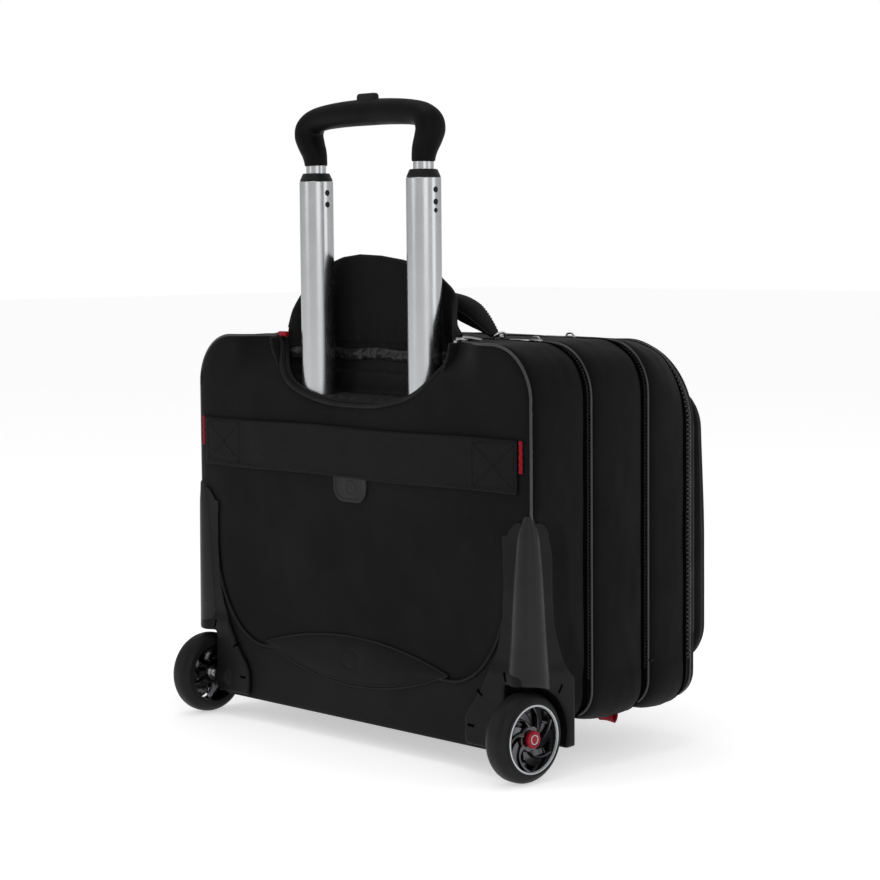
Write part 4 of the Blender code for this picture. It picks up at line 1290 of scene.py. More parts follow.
def make_front():
    """The front cover, and the domed pocket with its two rows of stitches."""
    outline = front_outline(0)
    tree = edge_tree([(point.x, point.y) for point in outline.even(500)])
    front = low("front_cover").y

    def cover_face(x, z):
        distance = edge_distance(tree, x, z)
        return front + 0.0012 - pillow(distance - 0.004, 0.05, 0.0014) + ripple((x, 5, z), 24, 0.0004) * min(
            1, distance / 0.02)

    cover = puffed("front_cover_cloth", outline, high("front_cover").y, cover_face, 0.0045, 0.0012, 0.0028, 4)
    attach(cover, "cover", "case_fabric", node="front_cover")

    shape = pocket_outline(0)
    pocket_tree = edge_tree([(point.x, point.y) for point in shape.even(500)])
    lowest, highest = ends("pocket_face")

    def pocket_face(x, z):
        distance = edge_distance(pocket_tree, x, z)
        share = min(1, max(0, (z - lowest.z) / (highest.z - lowest.z)))
        dome = pillow(distance - 0.006, 0.085, 0.0052 + 0.0022 * math.cos(math.pi * share))
        lean = -0.0050 * smooth_share((share - 0.45) / 0.55)
        folds = ripple((x, 7, z * 0.7), 15, 1) + 0.5 * ripple((x, 9, z), 42, 1)
        return lowest.y + 0.0040 - lean - dome + folds * cloth_sizes().wrinkle * min(1, distance / 0.03)

    pocket = puffed("pocket_cloth", shape, highest.y, pocket_face, 0.0085, 0.0030, 0.0025)
    attach(pocket, "pocket", "case_fabric", node="pocket_face")
    rows = []
    for inset in (0.0125, 0.0150):
        points = pocket_outline(inset).even(420)
        points.append(points[0])
        path = [Vector((x, pocket_face(x, z) - 0.0002, z)) for x, z in points]
        rows.append(stitching("row", path, Vector((0, -1, 0))))
    stitches = join("pocket_stitches", *rows)
    attach(stitches, "pocket", "case_fabric", "thread")


# ---------------- fittings on the back


STRAP_THICK = 0.0016
STRAP_LOOSE = 0.150                         # the strap is loose from its middle out to here
BOX_STITCH_INSET = 0.004                    # the crossed box of stitches, from the strap's end and edges
BOX_STITCH_END = 0.052


def make_strap():
    """The luggage band, its box stitches and the rubber patch below it."""
    thick = STRAP_THICK

    def on_panel(x, z, lift):
        return Vector((x, panel_depth(x, z) + lift, z))

    def place(across, along):
        x = -STRAP_HALF + 2 * STRAP_HALF * across
        z = STRAP_LOW + (STRAP_HIGH - STRAP_LOW) * along
        loose = math.sin(math.pi * max(0, STRAP_LOOSE - abs(x)) / STRAP_LOOSE)
        edge = min(along, 1 - along)
        curl = 0.0004 * math.exp(-edge * 14)
        lift = 0.0004 + thick + 0.0005 * loose + curl + ripple((x, 0, z), 22, 0.0004) * min(1, 6 * edge)
        return on_panel(x, z + 0.0006 * math.sin(x * 30), lift)

    strap = cloth_grid("luggage_strap_webbing", 220, 24, place)
    back_sheet(strap, thick)
    attach(strap, "case", "strap_webbing", node="luggage_strap")
    rows = []
    for side in (-1, 1):
        inner = side * (STRAP_HALF - BOX_STITCH_END)
        outer = side * (STRAP_HALF - BOX_STITCH_INSET)
        z_low = STRAP_LOW + BOX_STITCH_INSET
        z_high = STRAP_HIGH - BOX_STITCH_INSET
        corners = [(inner, z_low), (outer, z_low), (outer, z_high), (inner, z_high), (inner, z_low),
                   (outer, z_high), (inner, z_high), (outer, z_low)]
        path = []
        for (x0, z0), (x1, z1) in zip(corners, corners[1:]):
            path += [on_panel(x0 + (x1 - x0) * step / 24, z0 + (z1 - z0) * step / 24, 0.0023)
                     for step in range(24)]
        rows.append(stitching("row", path, BACKWARDS))
    for z in (STRAP_LOW + 0.0022, STRAP_HIGH - 0.0022):
        path = [on_panel(-STRAP_HALF + 2 * STRAP_HALF * step / 200, z, 0.0025) for step in range(201)]
        rows.append(stitching("row", path, BACKWARDS))
    stitches = join("strap_stitches", *rows)
    attach(stitches, "case", "strap_webbing", "thread")

    lowest, highest = ends("strap_patch")
    half = highest.x
    radius = 0.014
    top = highest.z + 0.001

    def lower(x):
        beyond = abs(x) - (half - radius)
        if beyond <= 0:
            return lowest.z
        return lowest.z + radius - math.sqrt(max(0, radius ** 2 - beyond ** 2))

    patch_columns = columns_for(half, 50)
    tree = edge_tree(border(patch_columns, lower, lambda x: top))

    def patch_depth(x, z):
        distance = edge_distance(tree, x, z)
        if z > top - 0.004:
            distance = half - abs(x)
        rim = pillow(distance, 0.0012, 0.0016) - 0.0007 * max(0, min(1, (distance - 0.0026) / 0.0008))
        around = math.hypot(x, z - (lowest.z + 0.0125))
        ring = 0.0007 * math.exp(-((around - 0.0062) / 0.0008) ** 2)
        dot = 0.0005 * math.exp(-(around / 0.0022) ** 4)
        return panel_depth(x, z) + 0.0003 + rim + ring + dot

    patch = column_panel("strap_patch_rubber", patch_columns, 60, lower, lambda x: top, patch_depth)
    back_sheet(patch, 0.0014)
    attach(patch, "case", "rubber_parts", node="strap_patch")


def make_tabs():
    """Red webbing: a folded tab in each side seam and a loop under the case."""
    for side, word in SIDES:
        node = "edge_tab_" + word
        lowest, highest = ends(node)

        def place(across, along):
            z = lowest.z + (highest.z - lowest.z) * along
            wide = (highest.x - lowest.x) * 0.62
            x = side * (abs(lowest.x + highest.x) / 2 + (across - 0.5) * wide + 0.0008)
            lift = 0.0010 + 0.0007 * math.sin(math.pi * across) + 0.0002 * math.sin(along * math.pi * 9)
            return Vector((x, max(panel_depth(x, z), BACK - 0.0022) + lift, z))

        tab = cloth_grid("side_tab_" + word, 14, 30, place)
        back_sheet(tab, 0.0012, 0)
        attach(tab, "case", "red_webbing", node=node)
    lowest, highest = ends("hang_tab")
    centre = (lowest + highest) / 2
    loop = [Vector((0, 0.0035, highest.z + 0.002)), Vector((0, 0.0034, lowest.z + 0.004)),
            Vector((0, 0.0, lowest.z - 0.0005)), Vector((0, -0.0034, lowest.z + 0.004)),
            Vector((0, -0.0035, highest.z + 0.002))]
    line = bezier(loop, 10)

    def loop_place(across, along):
        index = min(len(line) - 2, int(along * (len(line) - 1)))
        point = line[index].lerp(line[index + 1], along * (len(line) - 1) - index)
        x = lowest.x + (highest.x - lowest.x) * across
        return Vector((x, centre.y - 0.0085 + point.y, point.z + 0.0042 + 0.0008 * math.sin(across * 3)))

    tab = cloth_grid("hang_tab_webbing", 16, 40, loop_place)
    thicken(tab, 0.0011, 0)
    attach(tab, "middle_section", "red_webbing", node="hang_tab")


def make_base():
    """The tray with its piped seam, and the crowned lens that the hand lifts by."""
    tray = softened(copy_of("base_tray", "base_tray_moulding"), 0.0018, 5)
    attach(tray, "case", "guard_plastic", "base_cloth", node="base_tray")
    reach = 0.204
    line = [point for point in SEAM_CURVE if point.x <= reach]
    points = [Vector((-point.x, BACK + 0.0003, point.z)) for point in reversed(line[1:])]
    points += [Vector((point.x, BACK + 0.0003, point.z)) for point in line]
    cord = tube("tray_piping", points, 0.0016)
    attach(cord, "case", "case_fabric", "dark_piping")
    lowest, highest = ends("bottom_grip_pad")
    half = highest.x
    seam = 0.078

    def bow(x):
        return max(0.0, 1 - (x / half) ** 2)

    def lower(x):
        return seam - (seam - lowest.z) * bow(x)

    def upper(x):
        return seam + (highest.z - seam) * bow(x)

    columns = columns_for(half, 120)
    edge = border(columns, lower, upper, 4)
    tree = edge_tree(edge)

    def depth(x, z):
        distance = edge_distance(tree, x, z)
        oval = math.hypot(x / 1.35, z - 0.077)
        mark = -0.0006 * math.exp(-((oval - 0.0085) / 0.0011) ** 2)
        return BACK + 0.0002 + pillow(distance, 0.020, 0.0042) + mark + ripple((x, 0, z), 30, 0.0003)

    pad = column_panel("lifting_pad", columns, 50, lower, upper, depth)
    back_sheet(pad, 0.0020)
    attach(pad, "case", "pad_fabric", node="bottom_grip_pad")
    around = [Vector((x, BACK + 0.0010, upper(x))) for x in columns]
    around += [Vector((x, BACK + 0.0010, lower(x))) for x in reversed(columns[1:-1])]
    cord = tube("lifting_pad_piping", around, 0.0011, closed=True)
    attach(cord, "case", "pad_fabric", "dark_piping")
    rows = []
    for edge_line, inward in ((upper, -0.0034), (lower, 0.0034)):
        path = []
        for x in columns:
            if abs(x) < half - 0.022:
                z = edge_line(x) + inward
                path.append(Vector((x, depth(x, z) + 0.0001, z)))
        rows.append(stitching("row", path, BACKWARDS))
    stitches = join("lifting_pad_stitches", *rows)
    attach(stitches, "case", "pad_fabric", "thread")


def make_foot():
    """The ribbed rubber foot under the front."""
    lowest, highest = ends("front_foot")
    foot = block("front_foot_rubber", lowest, highest, 0.004, 4)
    slots = []
    for step in range(7):
        x = lowest.x + (highest.x - lowest.x) * (step + 1) / 8
        slots.append(block("cutter", (x - 0.0012, lowest.y - 0.01, lowest.z - 0.01),
                           (x + 0.0012, highest.y + 0.01, lowest.z + 0.0022)))
    carve(foot, *slots)
    round_off(foot)
    attach(foot, "front_section", "rubber_parts", node="front_foot")


# ---------------- wheel guards and wheels

# The guard's raised spine: height and radius
SPINE = [(0.0740, 0.0178), (0.0860, 0.0176), (0.0960, 0.0170), (0.1100, 0.0160), (0.1400, 0.0142),
         (0.1700, 0.0124), (0.1950, 0.0104), (0.2060, 0.0092), (0.2125, 0.0076), (0.2180, 0.0056),
         (0.2235, 0.0036)]
SPINE_SUNK_X = 0.62                         # shares of its radius by which the spine is sunk in the corner
SPINE_SUNK_Y = 0.60
BACK_SLOTS = [(0.1955, 0.0868), (0.1652, 0.0697), (0.1545, 0.0403)]     # across and up
SIDE_SLOTS = [(0.0030, 0.0914), (0.0336, 0.0758)]                       # depth from the back, and up


def guard_slot_shade(guard, start, towards):
    """A short bar painted dark, as painted shade in a slot on the guard's face, pointing at the wheel's axle.
    """
    hit, place, out, _ = guard.ray_cast(start, towards)
    if not hit:
        raise RuntimeError("no guard face behind a slot")
    bar = block("slot", (-0.0042, -0.0013, -0.0010), (0.0042, 0.0013, 0.0002), 0.0005, 2)
    axle = Vector((place.x, WHEEL_Y - 0.010, WHEEL_RADIUS))
    if abs(towards.y) > 0.5:
        axle = Vector((math.copysign(WHEEL_X, place.x), place.y, WHEEL_RADIUS))
    bar.data.transform(basis(place, place - axle, out))
    return bar


def make_guards():
    """The moulded wheel guards: flange, raised spine and slots. The spine is painted lighter than the flange,
    a painted highlight, and the slots are dark bars of painted shade.
    """
    for side, word in SIDES:
        node = "wheel_guard_" + word
        guard = copy_of(node, "guard_" + word)
        softened(guard, hard_sizes().grain, 3)
        for corner in guard.data.vertices:
            share = smooth_share((corner.co.z - 0.088) / 0.012)
            over_x = max(0.0, abs(corner.co.x) - CASE_HALF - 0.0018) * share * 0.9
            over_y = max(0.0, corner.co.y - BACK - 0.0016) * share * 0.9
            corner.co.x -= side * over_x
            corner.co.y -= over_y
            top = smooth_share((corner.co.z - 0.190) / 0.026)
            inset = BACK - 0.010 - corner.co.y
            if corner.co.y > BACK - 0.004:
                inset = CASE_HALF - 0.010 - abs(corner.co.x)
            if inset > 0:
                corner.co.z -= min(0.012, inset ** 2 * 60) * top
        guard.data.update()
        modify(guard, "SMOOTH", factor=0.5, iterations=6)
        heights = bezier([(0, radius, up) for up, radius in SPINE], 5)
        points = [Vector((side * (CASE_HALF - SPINE_SUNK_X * point.y), BACK - SPINE_SUNK_Y * point.y, point.z))
                  for point in heights]
        spine = tube("spine", points, 0.01, resolution=10, radii=[point.y for point in heights])
        axle = (side * (WHEEL_X + 0.012), WHEEL_Y, WHEEL_RADIUS)
        carve(spine, drum("cutter", axle, WHEEL_RADIUS + 0.0047, 0.060, "X", 96))
        softened(spine, 0.0010, 12)
        spine.name = "lit_guard_spine_" + word
        # The spine takes the lighter copy of the guard's colour, a painted highlight.
        attach(spine, "case", "guard_plastic", "lit_guard_spine")
        # Dark bars of painted shade stand for the guard's slots.
        slot_shade_bars = [guard_slot_shade(guard, Vector((side * across, BACK + 0.05, up)), Vector((0, -1, 0)))
                for across, up in BACK_SLOTS]
        slot_shade_bars += [guard_slot_shade(guard, Vector((side * 0.26, BACK - depth, up)), Vector((-side, 0, 0)))
                 for depth, up in SIDE_SLOTS]
        slots = join("guard_slots_" + word, *slot_shade_bars)
        round_off(slots)
        attach(slots, "case", "guard_plastic", "painted_shade")
        attach(guard, "case", "guard_plastic", node=node)


def wheel_ring(name, side, profile, steps=128):
    """A profile of (radius, distance out from the wheel's middle) points spun about the wheel's axle."""
    return spun(name, [(radius, side * outward) for radius, outward in profile],
                Vector((side * WHEEL_X, WHEEL_Y, WHEEL_RADIUS)), "X", steps)


TYRE_SHOULDER = 0.0108                      # radius of the tyre's rounded shoulders
SPOKE_ROOT = 0.0100                         # radius at which the spokes start
SPOKE_SWEEP = 0.95                          # angle that a spoke sweeps through, in radians


def make_wheels():
    """Tyre, rim with swept spokes, silver lip, bearing and hub cap on each side."""
    half = WHEEL_HALF
    rim = RIM_RADIUS
    for side, word in SIDES:
        body = "wheel_" + word
        shoulder = TYRE_SHOULDER
        tread = []
        tread += arc_points((WHEEL_RADIUS - shoulder, half - shoulder), shoulder, 90, 0, 8)
        tread += arc_points((WHEEL_RADIUS - shoulder, -half + shoulder), shoulder, 0, -90, 8)
        tread += [(rim + 0.0012, -half + 0.0002), (rim + 0.0003, -half + 0.0010),
                  (rim + 0.0003, half - 0.0010), (rim + 0.0012, half - 0.0002)]
        tyre = wheel_ring("tyre_tread_" + word, side, tread)
        round_off(tyre, 35)
        attach(tyre, body, "wheel_tyre", node="tyre_" + word)
        face = half - 0.0010
        barrel = [(rim, face - 0.0006), (rim - 0.0006, face), (rim - 0.0022, face),
                  (rim - 0.0032, face - 0.0030), (rim - 0.0030, face - 0.0080),
                  (rim - 0.0030, -face + 0.0030), (rim - 0.0024, -face), (rim - 0.0004, -face),
                  (rim, -face + 0.0006)]
        band = wheel_ring("rim_band", side, barrel)
        round_off(band, 35)
        hub = wheel_ring("rim_hub", side,
                         [(0.0078, face - 0.0032), (0.0104, face - 0.0032), (0.0112, face - 0.0042),
                          (0.0118, face - 0.0110), (0.0110, -face + 0.003), (0.0078, -face + 0.003)])
        round_off(hub, 35)
        count = hard_sizes().spokes
        blades = []
        for index in range(count):
            start = 2 * math.pi * index / count

            def place(across, along):
                radius = SPOKE_ROOT + (rim - 0.0028 - SPOKE_ROOT) * along
                sweep = SPOKE_SWEEP * along ** 1.15
                wide = (0.0062 - 0.0030 * math.sin(math.pi * min(1, along * 1.1)) + 0.0022 * along ** 4)
                turn = start + side * (sweep + (across - 0.5) * wide / radius)
                edge = 1 - (2 * across - 1) ** 4
                out = face - 0.0070 + 0.0034 * edge - 0.0030 * math.sin(math.pi * along) + 0.0022 * across
                return Vector((side * (WHEEL_X + out), WHEEL_Y + radius * math.sin(turn) * -1,
                               WHEEL_RADIUS + radius * math.cos(turn)))

            blade = cloth_grid("blade", 12, 22, place)
            face_towards(blade, Vector((side, 0, 0)))
            modify(blade, "SOLIDIFY", thickness=0.0085, offset=-1)
            round_off(blade, 40)
            blades.append(blade)
        whole = join("rim_" + word, band, hub, *blades)
        attach(whole, body, "black_plastic", "rim_plastic", node="wheel_rim_" + word)
        lip = wheel_ring("rim_lip_" + word, side,
                         arc_points((rim - 0.0018, face), 0.0012, 0, 345, 14), 128)
        smooth_all(lip)
        attach(lip, body, "black_plastic", "silver_paint")
        race = wheel_ring("bearing_race_" + word, side,
                          [(0.0045, face - 0.0045), (0.0045, face - 0.0035), (0.0074, face - 0.0035),
                           (0.0074, -face + 0.0032), (0.0045, -face + 0.0032)], 64)
        round_off(race, 35)
        attach(race, body, "steel", node="bearing_" + word)
        out = half + 0.0008
        cap_profile = [(0.00001, out - 0.0002), (0.0022, out - 0.0002), (0.0030, out - 0.0006),
                       (0.0046, out - 0.0007), (0.0053, out), (0.0064, out - 0.0002), (0.0073, out - 0.0012),
                       (0.0075, out - 0.0032), (0.00001, out - 0.0032)]
        cap = wheel_ring("hub_cap_cover_" + word, side, cap_profile, 72)
        round_off(cap, 35)
        attach(cap, body, "red_plastic", node="hub_cap_" + word)
        ring = wheel_ring("hub_ring_" + word, side,
                          arc_points((0.0038, out - 0.0006), 0.0005, 0, 340, 10), 64)
        smooth_all(ring)
        attach(ring, body, "red_plastic", "silver_paint")


# ---------------- trolley


def pipe(name, side, radius, wall, bottom, top, lip=0.0004):
    """A round tube on one side of the trolley, its edges broken by lip."""
    profile = [(radius, bottom + lip), (radius, top - lip), (radius - lip, top), (radius - wall, top),
               (radius - wall, bottom), (radius - lip, bottom)]
    made = spun(name, profile, Vector((side * TUBE_X, TUBE_Y, 0)), "Z", hard_sizes().tube_sides)
    round_off(made, 35)
    return made


TUBE_WALL = 0.0012
LOCK_DROPS = (0.0105, 0.0210)               # the lock sockets' places below the tube's top


def make_tubes():
    """On each side: the main tube with its lock sockets, the upper tube and the collar."""
    for side, word in SIDES:
        node = "middle_tube_" + word
        pipe_middle = pipe("main_tube_" + word, side, TUBE_RADIUS, TUBE_WALL, low(node).z, TUBE_TOP)
        holes = []
        for drop in LOCK_DROPS:
            at = (side * TUBE_X - TUBE_RADIUS, TUBE_Y, TUBE_TOP - drop)
            holes.append(drum("cutter", at, 0.0027, 0.012, "X", 32))
        carve(pipe_middle, *holes)
        round_off(pipe_middle, 35)
        attach(pipe_middle, "trolley_middle", "tube_aluminium", node=node)
        plugs = []
        for drop in LOCK_DROPS:
            at = (side * TUBE_X - TUBE_RADIUS + 0.0016, TUBE_Y, TUBE_TOP - drop)
            plugs.append(drum("plug", at, 0.00262, 0.0018, "X", 32, 0.0004))
        if side < 0:
            pin = (side * TUBE_X - TUBE_RADIUS + 0.0014, TUBE_Y, TUBE_TOP - 0.0283)
            plugs.append(drum("plug", pin, 0.0024, 0.0034, "X", 32, 0.0010))
        sockets = join("lock_sockets_" + word, *plugs)
        round_off(sockets)
        attach(sockets, "trolley_middle", "black_plastic")
        node = "inner_tube_" + word
        radius = (high(node).x - low(node).x) / 2
        pipe_inner = pipe("upper_tube_" + word, side, radius, TUBE_WALL, low(node).z, high(node).z - 0.0110)
        attach(pipe_inner, "trolley_inner", "tube_aluminium", node=node)
        node = "tube_collar_" + word
        seat = TUBE_TOP + 0.0003
        top = high(node).z
        profile = [(0.0093, top - 0.0006), (0.0099, top), (0.0116, top), (0.0124, top - 0.0006),
                   (0.0147, seat + 0.0012), (0.0150, seat + 0.0005), (0.0148, seat), (0.0138, seat),
                   (0.0138, low(node).z), (0.0093, low(node).z)]
        ring = spun("tube_collar_ring_" + word, profile, Vector((side * TUBE_X, TUBE_Y, 0)), "Z", 96)
        round_off(ring, 35)
        attach(ring, "trolley_middle", "black_plastic", node=node)


# Half of the grip, from its middle: across, up and radius
GRIP_LINE = [(0.0, 0.5632, 0.0118), (0.020, 0.5631, 0.0117), (0.042, 0.5622, 0.0114), (0.060, 0.5606, 0.0110),
             (0.0715, 0.5580, 0.0110), (0.0790, 0.5525, 0.0116), (0.0808, 0.5455, 0.0116),
             (0.0782, 0.5375, 0.0114), (0.0738, 0.5290, 0.0110), (0.0718, 0.5215, 0.0106),
             (0.0715, 0.5178, 0.0104)]


def make_grip():
    """The grip, with the slot that its release button sits in."""
    half = bezier([(x, radius, z) for x, z, radius in GRIP_LINE], 6)
    line = [Vector((-point.x, point.y, point.z)) for point in reversed(half[1:])] + half
    points = [Vector((point.x, TUBE_Y, point.z)) for point in line]
    bar = tube("grip_bar", points, 0.01, resolution=8, radii=[point.y for point in line])
    for corner in bar.data.vertices:
        away = corner.co.y - TUBE_Y
        share = min(1, max(0, (corner.co.z - 0.522) / 0.02))
        corner.co.y = TUBE_Y + away * (1 + 0.24 * share)
    softened(bar, 0.0011, 6)
    slot_box = block("cutter", low("release_button") - Vector((0.0005, 0.0005, -0.0008)),
                     high("release_button") + Vector((0.0005, 0.0005, 0.02)), 0.003, 3)
    carve(bar, slot_box)
    round_off(bar, 45)
    attach(bar, "trolley_inner", "soft_grip", node="grip")
    lowest, highest = ends("release_button")
    button = block("release_button_cap", lowest, highest, 0.0034, 5)
    edit(button)
    pick(button, lambda at, normal: normal.z > 0.9)
    bpy.ops.transform.resize(value=(0.86, 0.70, 1), center_override=(lowest + highest) / 2)
    leave()
    round_off(button, 50)
    attach(button, "release", "soft_grip", "black_plastic", node="release_button")


# ---------------- recess, flap and carry handle


def make_well():
    """The crumpled lining of the trolley recess."""
    well = softened(copy_of("trolley_well", "well_lining"), 0.0016, 3)
    for corner in well.data.vertices:
        at = corner.co
        fold = noise.noise(Vector((at.x * 60, at.y * 14, at.z * 22))) * 0.0016
        fold += noise.noise(Vector((at.x * 130, at.y * 60, at.z * 70))) * 0.0006
        inwards = Vector((-at.x * 0.4, 0.06, 0.25)).normalized()
        near_top = smooth_share((at.z - CASE_TOP + 0.040) / 0.040)
        near_back = smooth_share((at.y - 0.088) / 0.006) * smooth_share((CASE_TOP - 0.030 - at.z) / 0.020)
        drop = 0.0055 * near_back * max(0.0, 1 - (at.x / 0.1) ** 2)
        behind = smooth_share((0.062 - at.y) / 0.004) * smooth_share((at.z - CASE_TOP + 0.034) / 0.008)
        shift = Vector((at.x * 0.035 * near_top, -0.0045 * behind, -drop))
        corner.co = at + inwards * (abs(fold) * 1.2) + shift
    well.data.update()
    attach(well, "case", "lining", node="trolley_well")


# The flap's upper edge: across and up
FLAP_TOP = [(-0.1145, 0.3690), (-0.109, 0.3750), (-0.102, 0.3825), (-0.093, 0.3940), (-0.081, 0.4075),
            (-0.066, 0.4180), (-0.045, 0.4260), (-0.019, 0.4315), (0.010, 0.4352), (0.0375, 0.4364),
            (0.060, 0.4340), (0.079, 0.4285), (0.092, 0.4170), (0.102, 0.4000), (0.109, 0.3850),
            (0.1145, 0.3710)]


FLAP_WRAP = 0.0205                          # how far the flap's ends come round the tubes
FLAP_STRAIGHT = 0.083                       # where they start to


def flap_depth(across):
    """Y of the flap's middle: its ends wrap round the tubes towards the back."""
    return middle("flap").y + FLAP_WRAP * smooth_share((abs(across) - FLAP_STRAIGHT) / 0.028)


def make_flap():
    """The gathered flap behind the tubes, its binding, the cloth below it and the satin strip."""
    half = FLAP_TOP[-1][0]
    bottom = CASE_TOP - 0.0030
    seat = CASE_TOP - 0.0095

    def lower(x):
        return bottom

    def upper(x):
        return along_table(FLAP_TOP, x)

    columns = columns_for(half, 150)
    tree = edge_tree([(x, upper(x)) for x in columns])

    def depth(x, z):
        distance = edge_distance(tree, x, z)
        base = max(0.0, 1 - (z - bottom) / 0.032)
        pleat = noise.noise(Vector((x * 105, 0, z * 9))) * 0.0020 * base
        folds = noise.noise(Vector((x * 42, 3, z * 9))) * 0.0016
        gather = -0.0016 * base ** 3
        return flap_depth(x) + 0.0005 + pillow(distance, 0.008, 0.0018) + pleat + folds + gather

    flap = column_panel("grip_cover_cloth", columns, 80, lower, upper, depth)
    face_towards(flap, BACKWARDS)
    modify(flap, "SOLIDIFY", thickness=0.0040, offset=-1)
    modify(flap, "BEVEL", width=0.0012, segments=2, limit_method="ANGLE", angle_limit=math.radians(60))
    smooth_all(flap)
    attach(flap, "flap", "case_fabric", node="flap")
    edge = [Vector((x, flap_depth(x) - 0.0006, upper(x) - 0.0002)) for x in columns]
    cord = tube("grip_cover_binding", edge, 0.0019)
    attach(cord, "flap", "case_fabric", "dark_piping")

    def base_place(across, along):
        x = -half + 2 * half * across
        pleat = noise.noise(Vector((x * 105, 0, 3.2))) * 0.0016
        return Vector((x, flap_depth(x) - 0.0004 + pleat, seat + (CASE_TOP + 0.0004 - seat) * along))

    base = cloth_grid("grip_cover_base", 200, 6, base_place)
    back_sheet(base, 0.0014)
    attach(base, "case", "case_fabric")

    def hem_place(across, along):
        x = -half + 2 * half * across
        pleat = noise.noise(Vector((x * 150, 5, along * 2))) * 0.0040
        swell = math.sin(math.pi * min(1, along * 1.1))
        return Vector((x, flap_depth(x) + 0.0004 + (0.0022 + pleat) * swell,
                       seat - 0.0100 + 0.0105 * along + 0.0010 * math.sin(x * 90)))

    hem = cloth_grid("grip_cover_hem", 220, 10, hem_place)
    back_sheet(hem, 0.0016)
    attach(hem, "case", "case_fabric", "satin_strip", node="flap_hem")


# Half of the carry handle, from its end to its middle: across and up
HANDLE_LINE = [(0.1195, 0.3672), (0.1120, 0.3725), (0.1000, 0.3800), (0.0850, 0.3872), (0.0640, 0.3930),
               (0.0350, 0.3960), (0.0, 0.3968)]


HANDLE_TAPER = 0.045                        # length over which each end narrows
HANDLE_STRAIGHT = 0.075                     # the handle's ends bend back beyond this place
HANDLE_BEND = 0.004


def handle_shape(x):
    """Half width and half thickness of the carry handle at a place along it."""
    end = min(1.0, max(0.0, (HANDLE_LINE[0][0] - abs(x)) / HANDLE_TAPER))
    wide = 0.0058 + 0.0058 * math.sin(math.pi / 2 * end)
    thick = 0.0020 + 0.0085 * math.sin(math.pi / 2 * min(1, end * 1.15))
    return wide, thick


def handle_shift(x):
    """How far the handle's ends bend back towards their anchors."""
    return HANDLE_BEND * max(0.0, abs(x) - HANDLE_STRAIGHT) / HANDLE_TAPER


def make_handle():
    """The padded carry handle with its piping and stitches, and an anchor at each end."""
    centre_y = middle("carry_handle").y
    half = bezier([(x, 0, z) for x, z in HANDLE_LINE], 8)
    line = half + [Vector((-point.x, 0, point.z)) for point in reversed(half[:-1])]
    count = len(line) - 1

    def along_line(share):
        index = min(count - 1, int(share * count))
        point = line[index].lerp(line[index + 1], share * count - index)
        after = line[min(count, index + 2)] - line[max(0, index - 1)]
        out = Vector((after.z, 0, -after.x)).normalized() * -1
        if out.z < 0:
            out = -out
        return point, out

    def place(across, along):
        point, out = along_line(along)
        wide, thick = handle_shape(point.x)
        turn = 2 * math.pi * across
        c = math.cos(turn)
        s = math.sin(turn)
        side = math.copysign(abs(c) ** 0.75, c) * wide
        rise = math.copysign(abs(s) ** 0.75, s) * thick
        rise += ripple((point.x, side, 0), 45, 0.0006)
        return Vector((point.x, centre_y + side + handle_shift(point.x), point.z)) + out * rise

    band = cloth_grid("carry_handle_cloth", 40, 150, place)
    edit(band)
    bpy.ops.mesh.remove_doubles(threshold=0.00001)
    bpy.ops.mesh.select_mode(type="EDGE")
    bpy.ops.mesh.select_all(action="DESELECT")
    bpy.ops.mesh.select_non_manifold()
    bpy.ops.mesh.edge_face_add()
    leave()
    face_out(band)
    smooth_all(band)
    attach(band, "carry_handle", "pad_fabric", node="carry_handle")
    rows = []
    cords = []
    for side in (-1, 1):
        path = []
        outs = []
        edge = []
        for step in range(141):
            point, out = along_line(0.03 + 0.94 * step / 140)
            wide, thick = handle_shape(point.x)
            y = centre_y + handle_shift(point.x)
            path.append(Vector((point.x, y + side * wide * 0.74, point.z)) + out * (thick * 0.80))
            edge.append(Vector((point.x, y + side * (wide + 0.0002), point.z)))
            outs.append(out)
        rows.append(stitching("row", path, outs, 0.0003))
        cords.append(tube("cord", edge, 0.0009))
    stitches = join("carry_handle_stitches", *rows)
    attach(stitches, "carry_handle", "pad_fabric", "thread")
    piping = join("carry_handle_piping", *cords)
    attach(piping, "carry_handle", "pad_fabric", "dark_piping")
    for side, word in SIDES:
        node = "handle_anchor_" + word
        lowest, highest = ends(node)
        centre = (lowest + highest) / 2
        plate = block("anchor_patch_" + word, (lowest.x - 0.001, lowest.y, CASE_TOP - 0.001),
                      (highest.x + 0.001, highest.y, CASE_TOP + 0.0026), 0.0010)
        round_off(plate)
        attach(plate, "case", "case_fabric", "strap_webbing")
        ring_line = []
        for step in range(40):
            turn = 2 * math.pi * step / 40
            across = centre.x + side * 0.0010 + 0.0030 * math.cos(turn) * side
            up = CASE_TOP + 0.0048 + 0.0032 * math.cos(turn)
            ring_line.append(Vector((across, centre.y + 0.0062 * math.sin(turn), up)))
        ring = tube("ring", ring_line, 0.0011, closed=True)
        deselect()
        at = (centre.x - side * 0.001, lowest.y + 0.0035, CASE_TOP + 0.0044)
        bpy.ops.mesh.primitive_uv_sphere_add(segments=24, ring_count=14, radius=0.0026, location=at)
        ball = bpy.context.object
        place_mesh(ball)
        metalwork = join("anchor_ring_" + word, ring, ball)
        smooth_all(metalwork)
        attach(metalwork, "case", "steel", node=node)


# ---------------- parts that keep their CAD shape


def dress_frame():
    """Finishes on the CAD nodes that still show."""
    finish_of = {"tube_foot_bracket": "black_plastic", "tube_top_bracket": "black_plastic", "axle_": "steel",
                 "outer_tube_": "tube_aluminium", "inner_bush_": "black_plastic", "push_rod_": "steel"}
    for name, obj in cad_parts.items():
        for start, slot in finish_of.items():
            if name.startswith(start):
                for index in range(len(obj.data.materials)):
                    obj.material_slots[index].material = MADE[slot]


# ---------------- stage


